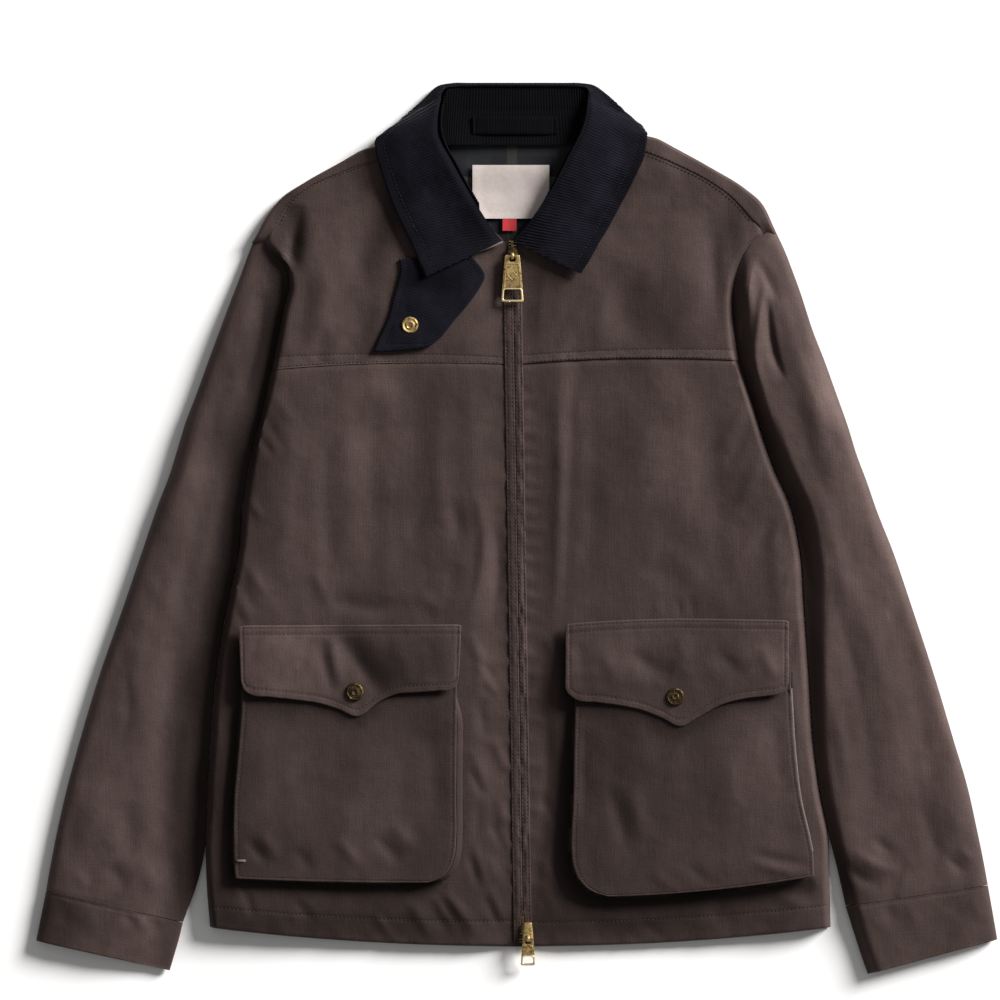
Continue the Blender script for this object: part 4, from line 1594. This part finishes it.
def fall_section(row, fold):
    """One section: from the roll line to the edge and, where it is folded, round and back below.

    It comes with its size, which is less than 1 where the section is short.
    """
    start, edge, under = row[0:2], row[3:5], row[5:7]
    level = edge_level(edge)
    length = np.linalg.norm(edge - start)
    out = (edge - start) / max(length, 1e-6)
    radius = fold * min(level / 2, 3.4, 0.5 * float(length))
    end = edge - out * radius
    s = np.linspace(0, 1, FALL_COLUMNS) ** 1.05
    size = float(np.clip(length / 26, 0.10, 1))
    curl = 1.3 * size * np.exp(-((s / 0.05) ** 2))
    top = [start[0] + (end[0] - start[0]) * s, start[1] + (end[1] - start[1]) * s,
           row[2] + (level - row[2]) * np.sin(np.pi / 2 * s) ** 1.1 - curl]
    share = np.linspace(0, 1, FALL_UNDER_COLUMNS + 1)[1:]
    reach = np.linalg.norm(under - edge)
    back = (under - edge) / max(reach, 1e-6)
    arc = np.clip(share / 0.45, 0, 1) * np.pi
    run = np.clip((share - 0.45) / 0.55, 0, 1) * reach * fold
    below = [end[k] + out[k] * radius * np.sin(arc) + back[k] * run for k in (0, 1)]
    below.append(level / 2 + level / 2 * np.cos(arc))
    plain = [edge[0], edge[1], level - 0.9 * share]
    below = [folded * fold + flat * (1 - fold) for folded, flat in zip(below, plain)]
    return np.stack([np.concatenate(pair) for pair in zip(top, below)], -1), size


def fall_phase(side, grid, dense, along, t):
    """Which wale each point lies on: they fan over the leaf, and run along the edge at the back."""
    centre = LEAF_WALE_CENTRE[side]
    top = grid[:, :FALL_COLUMNS]
    angle = np.arctan2(top[..., 1] - centre.y, sign_of(side) * (centre.x - top[..., 0]))
    fan = np.unwrap(angle, axis=0) * LEAF_WALE_RADIUS / WALE
    back = chords(dense[:, 3:5]) / WALE
    first, match, last = WALES_TURN
    start = np.searchsorted(along, t[match])
    blend = ramp(along, t[first], t[last])[:, None]
    phase = fan * (1 - blend) + (fan[start].mean() + back[:, None] - back[start]) * blend
    under = np.repeat(phase[:, -1:], grid.shape[1] - FALL_COLUMNS, axis=1)
    return np.concatenate([phase, under], axis=1)


def fall_half(side):
    """The fall from the leaf's lower edge to the middle of the back, as sections along its wales."""
    table = np.array([[r.rx, r.ry, r.rz, r.ex, r.ey, r.ex if r.ux is None else r.ux,
                       r.ey if r.uy is None else r.uy] for r in FALL[side]], float)
    t = chords(np.stack([chords(table[:, 0:2]), chords(table[:, 3:5])], axis=1)) / 1.2
    along = np.linspace(0, t[-1], int(t[-1] / COLLAR_STEP))
    dense = hermite(t, table, along)
    folded = ramp(along, t[FALL_FOLDED_FROM - 1], t[FALL_FOLDED_FROM])
    sections = [fall_section(row, fold) for row, fold in zip(dense, folded)]
    grid = np.array([points for points, _ in sections])
    sizes = np.array([size for _, size in sections])
    return grid, fall_phase(side, grid, dense, along, t), sizes


def make_fall():
    """The fall in one piece, from leaf to leaf; gives back its points for the stitching."""
    left, left_phase, left_size = fall_half("left")
    right, right_phase, right_size = fall_half("right")
    size = np.concatenate([left_size, right_size[-2::-1]])[:, None]
    right_phase = right_phase - right_phase[-1].mean() + left_phase[-1].mean()
    grid = np.concatenate([left, right[-2::-1]], axis=0)
    phase = np.concatenate([left_phase, right_phase[-2::-1]], axis=0)
    x, y = grid[..., 0], grid[..., 1]
    phase = phase + 0.22 * speckle(x, y, 11)
    height = WALE_HEIGHT * wales(phase) * (0.85 + 0.3 * speckle(x, y, 5)) * size
    columns = np.arange(grid.shape[1])
    stitched = np.exp(-((columns - FALL_STITCH) / 0.55) ** 2) * (columns < FALL_COLUMNS)
    height = (height - 0.38 * stitched[None, :]) * ramp(columns, 0, 4)[None, :]
    soft = 0.5 * speckle(x, y, 30)
    grid = grid + normals_of(grid) * height[..., None]
    grid[..., 2] += soft * (grid[..., 2] > 9)
    cloth("collar_cloth", [grid], 1.9, CORD, ["collar_fall"], "corduroy", even=False,
          sharp=85, tone="collar")
    return grid


def make_collar_edge():
    """The thin pale edge of the facing that shows at the right leaf's lower inner corner."""
    line = smooth_line([(-41, 247.8), (-33, 250.8), (-25, 253.6), (-18, 256.2), (-12.5, 258.2)], 1.5)
    section = ((1.2, 13.0), (0.4, 13.3), (-0.5, 13.0), (-0.9, 12.2))
    grid = np.array([lifted(line[:, 0] - 0.35 * out, line[:, 1] + out, up) for out, up in section])
    cloth("collar_edge_lining", [grid], 0.5, PALE, slot="pale_lining", flip=True, even=False)


def make_stand():
    """The stand round the neck, from its top edge down to its seam, with a row of stitching."""
    table = np.array([list(r) for r in STAND], float)
    t = chords(table[:, 0:2])
    at = np.linspace(0, t[-1], int(t[-1] / COLLAR_STEP))
    dense = hermite(t, table, at)
    s = np.linspace(0, 1, 18)
    x, y, z = [dense[:, [k]] + (dense[:, [k + 3]] - dense[:, [k]]) * s for k in range(3)]
    z = z - 1.0 * np.sin(np.pi * s) - 0.45 * np.exp(-((s - 0.42) / 0.03) ** 2)
    grid = lifted(x, y, z)
    phase = np.broadcast_to((at / WALE)[:, None], x.shape)
    grid = grid + normals_of(grid) * (WALE_HEIGHT * wales(phase))[..., None]
    cloth("collar_stand_cloth", [grid], 1.6, DEEP_CORD, ["collar_stand"], "corduroy", even=False,
          sharp=85)


def make_loop():
    """The hanger loop, stitched down at both ends."""
    x, y = np.meshgrid(np.arange(LOOP_X[0], LOOP_X[1] + 0.3, 0.6), np.linspace(LOOP_Y[0], LOOP_Y[1], 12))
    edge = np.minimum(y - LOOP_Y[0], LOOP_Y[1] - y)
    end = np.minimum(x - LOOP_X[0], LOOP_X[1] - x)
    z = LOOP_TOP - LOOP_SLOPE * (y - LOOP_Y[0]) - 1.2 + 0.7 * ramp(end, 2, 16)
    z = z - 0.5 * (1 - rounded(edge, 1.2))
    z = z + 0.3 * wales(x / WALE) - 0.5 * np.exp(-((end - 3.0) / 0.7) ** 2)
    cloth("hanger_loop_cloth", [lifted(x, y, z)], 1.2, DEEP_CORD, ["hanger_loop"], "corduroy", even=False,
          sharp=85)


TAB_WALE_DIRECTION = (0.30, 0.954)


THROAT_FOLDS = listed(Fold, ([(-104, 222), (-80, 214), (-50, 216)], 9, -1.0),
    ([(-112, 176), (-86, 172)], 8, 0.8), ([(-100, 202), (-70, 198)], 8, 0.7))


def make_throat_tab():
    """The corduroy tab on the right yoke, its wales running down to the right."""
    columns = (0, 0.3, 0.8, 1.6, 2.6)
    dense, _, from_end = lofted(THROAT_TAB, 0.9, (0,), columns)
    x, y, a, b = spread_over(dense, 1.6, columns, columns)
    end = from_end[:, None]
    edge = np.minimum(np.minimum(a, b), end)
    z = body_height(x, y) + 2.6 - 1.2 * (1 - rounded(edge, 1.8)) + 0.9 * ramp(end, 30, 0)
    z += creases(x, y, THROAT_FOLDS)
    phase = (x * TAB_WALE_DIRECTION[0] + y * TAB_WALE_DIRECTION[1]) / WALE
    z += 0.4 * wales(phase) + groove(edge, 6.5, 0.4, 0.7)
    cloth("throat_tab_cloth", [lifted(x, y, z)], 1.6, CORD, ["throat_tab"], "corduroy", flip=True,
          even=False, sharp=85,
          tone="collar")


def make_throat_snap():
    at = (THROAT_SNAP_AT.x, THROAT_SNAP_AT.y, body_at(THROAT_SNAP_AT) + 3.2)
    parts = [turned("ring", THROAT_RING_PROFILE, at), turned("cup", THROAT_CUP_PROFILE, at)]
    new_object("throat_snap_ring", joined("throat_snap_ring", parts), BRASS, ["throat_snap"])


LINING_FOLDS = listed(Fold, ([(-50, 336), (-46, 300)], 6, 0.7), ([(40, 336), (44, 312)], 6, 0.7),
    ([(-20, 270), (10, 262)], 6, 0.6))


def make_lining():
    dense, _, _ = lofted(LINING_ROWS, 3.0)
    x, y, _, _ = spread_over(dense, 3.0)
    z = LINING_TOP + neck_lift(x, y) + 0.5 * speckle(x, y, 20) * ramp(y, 348, 338)
    z = z + 0.9 * ramp(y, 338, 347) + creases(x, y, LINING_FOLDS)
    cloth("neck_lining_cloth", [lifted(x, y, z)], 1.0, TARTAN, ["neck_lining"], "tartan_lining")


def make_label(name, rows, material, slot):
    """A small plain patch sewn to the lining, its edges curling up a little."""
    table = np.array([list(r) for r in rows], float)
    t = chords(table[:, 0:2])
    at = np.linspace(0, t[-1], max(6, int(t[-1] / 2.0)))
    dense = np.stack([np.interp(at, t, table[:, k]) for k in range(5)], axis=1)
    x, y, a, b = spread_over(dense, 2.0)
    curl = 0.9 * ramp(np.minimum(a, b), 10, 0) + 0.5 * ramp(at[:, None], 8, 0)
    z = LINING_TOP + 2.2 + neck_lift(x, y) + 0.25 * speckle(x, y, 16) + curl * 0.6
    cloth(name, [lifted(x, y, z)], 0.6, material, [slot], slot)


# ---------------------------------------------------------------- stitching

# A stitch along its length: the share of the way, how thick it is there, and how far it stands proud.
STITCH_SECTIONS = ((0.0, 0.45, -0.9), (0.22, 1.0, 0.1), (0.5, 1.1, 0.35), (0.78, 1.0, 0.1),
                   (1.0, 0.45, -0.9))
STITCH_ANGLES = (0.5, 1.57, 2.64, 3.9, 5.5)


def stitch_mesh(mesh, line, length, gap, radius):
    """Small rounded stitches along a line of 3-D points, each lying on the line and sunk in at its ends."""
    t = chords(line)
    for k, start in enumerate(np.arange(gap, t[-1] - length, length + gap)):
        first, mid, last = [np.array([np.interp(s, t, line[:, c]) for c in range(3)])
                            for s in (start, start + length / 2, start + length)]
        d = last - first
        d /= np.linalg.norm(d)
        side = np.array([-d[1], d[0], 0.0])
        side /= max(np.linalg.norm(side), 1e-9)
        up = np.cross(d, side)
        up = up * (1 if up[2] > 0 else -1)
        wobble = 0.10 * math.sin(k * 2.4) * side
        arch = mid - (first + last) / 2
        rings = []
        for share, size, sink in STITCH_SECTIONS:
            centre = first + (last - first) * share + wobble
            centre = centre + arch * 4 * share * (1 - share) + up * sink * radius
            spokes = [math.cos(a) * side + 0.8 * math.sin(a) * up for a in STITCH_ANGLES]
            rings.append([mesh.verts.new((centre + radius * size * spoke) * MM) for spoke in spokes])
        skin(mesh, rings)


def stitches(name, lines, material, length=2.9, gap=0.7, radius=0.3):
    mesh = bmesh.new()
    for line in lines:
        stitch_mesh(mesh, line, length, gap, radius)
    data = finished(name, mesh)
    data.shade_smooth()
    new_object(name, data, material)


def inset_line(dense, distance, from_b=False):
    """Points at a distance in from the A edge, or the B edge, of every dense row."""
    t = distance / np.hypot(dense[:, 2] - dense[:, 0], dense[:, 3] - dense[:, 1])
    t = 1 - t if from_b else t
    x = dense[:, 0] + (dense[:, 2] - dense[:, 0]) * t
    y = dense[:, 1] + (dense[:, 3] - dense[:, 1]) * t + dense[:, 4] * 4 * t * (1 - t)
    return x, y


def hem_line(side):
    dense, from_hem, _ = lofted(front_rows(side), 5.0)
    x, y, _, _ = spread_over(hermite(from_hem, dense, np.array([HEM_STITCH])), 4.0)
    return lifted(x, y, body_height(x, y) - 0.45 + 0.3)[0][2:]


def yoke_lines(side):
    """The two rows of stitching above the yoke seam."""
    dense, from_seam, _ = lofted(yoke_rows(side), 5.0)
    for distance in (1.6, YOKE_STITCH):
        x, y, _, _ = spread_over(hermite(from_seam, dense, np.array([distance])), 3.0)
        z = yoke_height(x, y, np.full_like(x, distance), np.full_like(x, 99.0))
        yield lifted(x, y, z + STITCH_LIFT)[0][2:-1]


def shoulder_lines(side):
    """The two rows of stitching beside the shoulder seam, one on each side of it."""
    seams = smooth_line(SHOULDER_SEAM[side], 4.0)
    folds = smooth_line(SHOULDER_FOLD[side][1:7], 4.0)
    folds = folds[np.linspace(0, len(folds) - 1, len(seams)).astype(int)]
    for share, lift in ((-0.12, 0.15), (0.12, 0.5)):
        p = seams + (folds - seams) * share
        yield np.column_stack([p, body_height(p[:, 0], p[:, 1]) + lift])


def guard_lines(side, width):
    """A row of stitching along each edge of a zip guard."""
    y = np.arange(HEM_Y + 2, GUARD_END_Y, 3.0)
    near = guard_edge(y)
    for out in (near + GUARD_INNER_STITCH, np.full_like(y, width - GUARD_OUTER_STITCH)):
        x = zip_x(y) + sign_of(side) * out
        yield np.column_stack([x, y, guard_z(x, y, out - near, width - out) + 0.12])


def make_body_stitches():
    lines = []
    for side, width in (("left", GUARD_LEFT), ("right", GUARD_RIGHT)):
        lines += [hem_line(side), *yoke_lines(side), *shoulder_lines(side), *guard_lines(side, width)]
    stitches("body_stitching", lines, THREAD)


def bag_line(side):
    """The stitching round the bag's sides and bottom."""
    path = pocket_outline(side)
    p = path + inward_of(path, side) * POCKET_STITCH
    p = p[p[:, 1] < -150]
    d = np.full(len(p), POCKET_STITCH)
    z = pocket_height(side, p[:, 0], p[:, 1], d, d + 50, d + 50)
    return np.column_stack([p, z + STITCH_LIFT])


def flap_lines(side):
    """The flap's stitching: two rows below its seam, one up each end, and one along its point."""
    dense, from_a, from_b = lofted(FLAP[side], 2.0)
    for distance in FLAP_SEAM_STITCHES:
        x, y = inset_line(dense, distance)
        far = np.full_like(x, 60.0)
        z = flap_height(side, x, y, np.full_like(x, distance), far, from_a, from_b)
        yield np.column_stack([x, y, z + STITCH_LIFT])[2:-2]
    for at in (FLAP_STITCH, from_a[-1] - FLAP_STITCH):
        x, y, a, b = spread_over(hermite(from_a, dense, np.array([at])), 3.0)
        z = flap_height(side, x, y, a, b, np.full_like(x, FLAP_STITCH), np.full_like(x, 60.0))
        yield lifted(x, y, z + STITCH_LIFT)[0][(a[0] > 9) & (b[0] > 7)]
    inner = (from_a > FLAP_STITCH) & (from_b > FLAP_STITCH)
    x, y = inset_line(dense[inner], FLAP_STITCH, from_b=True)
    far, near = np.full_like(x, 60.0), np.full_like(x, FLAP_STITCH)
    z = flap_height(side, x, y, far, near, from_a[inner], from_b[inner])
    yield np.column_stack([x, y, z + STITCH_LIFT])


def make_pocket_stitches():
    lines = []
    for side in ("left", "right"):
        lines += [bag_line(side), *flap_lines(side)]
    stitches("pocket_stitching", lines, THREAD)


def make_bar_tack():
    """The thick bar of thread at the right bag's lower outer corner."""
    x = np.linspace(*BAR_TACK_X, 8)
    y = np.full_like(x, BAR_TACK_Y)
    z = pocket_height("right", x, y, np.full_like(x, 5.0), np.full_like(x, 60.0), np.full_like(x, 30.0))
    lines = [np.column_stack([x, y + 0.7 * k, z + lift]) for k, lift in ((-1, 0.6), (0, 0.7), (1, 0.6))]
    stitches("bar_tacks", lines, TACK_THREAD, length=9.0, gap=0.2, radius=0.4)


def make_collar_stitches(grid):
    line = grid[::3, int(round(FALL_STITCH))].copy()
    line[:, 2] += 0.1
    stitches("collar_stitching", [line], DARK_THREAD, length=2.6, gap=0.9, radius=0.28)


# ---------------------------------------------------------------- floor, light and camera

FLOOR_HALF = 6.0                # the floor and the camera are in metres
FLOOR_DROP = 0.0006
FILL = 0.235
KEY = 9.4
KEY_SPREAD, KEY_AZIMUTH, KEY_ELEVATION = [math.radians(angle) for angle in (24.0, 36.0, 20.0)]
CAMERA_DISTANCE = 5.0
FRAME_WIDTH = 0.9
CAMERA_X, CAMERA_Y = -0.0153, 0.027


def placed(name, data):
    obj = bpy.data.objects.new(name, data)
    bpy.context.scene.collection.objects.link(obj)
    return obj


def make_floor():
    data = bpy.data.meshes.new("floor")
    corners = [(x * FLOOR_HALF, y * FLOOR_HALF, 0) for x, y in ((-1, -1), (1, -1), (1, 1), (-1, 1))]
    data.from_pydata(corners, [], [(0, 1, 2, 3)])
    material = bpy.data.materials.new("floor_paint")
    material.use_nodes = True
    shader = material.node_tree.nodes["Principled BSDF"]
    shader.inputs["Base Color"].default_value = (0.92, 0.92, 0.92, 1)
    shader.inputs["Roughness"].default_value = 0.9
    shader.inputs["Specular IOR Level"].default_value = 0.1
    data.materials.append(material)
    floor = placed("floor", data)
    floor.location.z = -FLOOR_DROP


def make_light():
    """A soft low key from above the wearer's left shoulder, and an even fill."""
    world = bpy.data.worlds.new("studio")
    bpy.context.scene.world = world
    world.use_nodes = True
    background = world.node_tree.nodes["Background"]
    background.inputs["Color"].default_value = (1.0, 0.99, 0.98, 1)
    background.inputs["Strength"].default_value = FILL
    sun = bpy.data.lights.new("key", "SUN")
    sun.energy = KEY
    sun.angle = KEY_SPREAD
    sun.color = (1.0, 0.985, 0.965)
    level = math.cos(KEY_ELEVATION)
    towards = Vector((math.cos(KEY_AZIMUTH) * level, math.sin(KEY_AZIMUTH) * level, math.sin(KEY_ELEVATION)))
    placed("key", sun).rotation_euler = towards.to_track_quat("Z", "Y").to_euler()


def make_camera():
    camera = bpy.data.cameras.new("camera")
    camera.sensor_width = 36.0
    camera.lens = camera.sensor_width * CAMERA_DISTANCE / FRAME_WIDTH
    camera.clip_end = 50
    eye = placed("camera", camera)
    eye.location = (CAMERA_X, CAMERA_Y, CAMERA_DISTANCE)
    bpy.context.scene.camera = eye
    bpy.context.scene.view_settings.view_transform = "Standard"
    bpy.context.scene.view_settings.look = "None"


def main():
    make_floor()
    make_light()
    make_camera()
    make_back()
    for side in ("left", "right"):
        make_front(side)
        make_yoke(side)
        make_sleeve(side)
        make_cuff(side)
        make_pocket(side)
        make_gusset(side)
        make_flap(side)
        make_flap_snap(side)
    make_hand_opening()
    make_zip()
    make_slider("top_slider_metal", "top_slider", TOP_HINGE, 1, -1.5)
    make_slider("bottom_slider_metal", "bottom_slider", BOTTOM_HINGE, -1, 5.5)
    make_pull("top_pull_metal", "top_pull", TOP_HINGE, TOP_PULL, 0.0)
    make_pull("bottom_pull_metal", "bottom_pull", BOTTOM_HINGE, BOTTOM_PULL, BOTTOM_TILT)
    collar = make_fall()
    make_collar_edge()
    make_stand()
    make_loop()
    make_throat_tab()
    make_throat_snap()
    make_lining()
    make_label("neck_label_cloth", LABEL_ROWS, LABEL, "neck_label")
    make_label("size_tab_cloth", SIZE_TAB_ROWS, RED, "size_tab")
    make_body_stitches()
    make_pocket_stitches()
    make_bar_tack()
    make_collar_stitches(collar)


main()
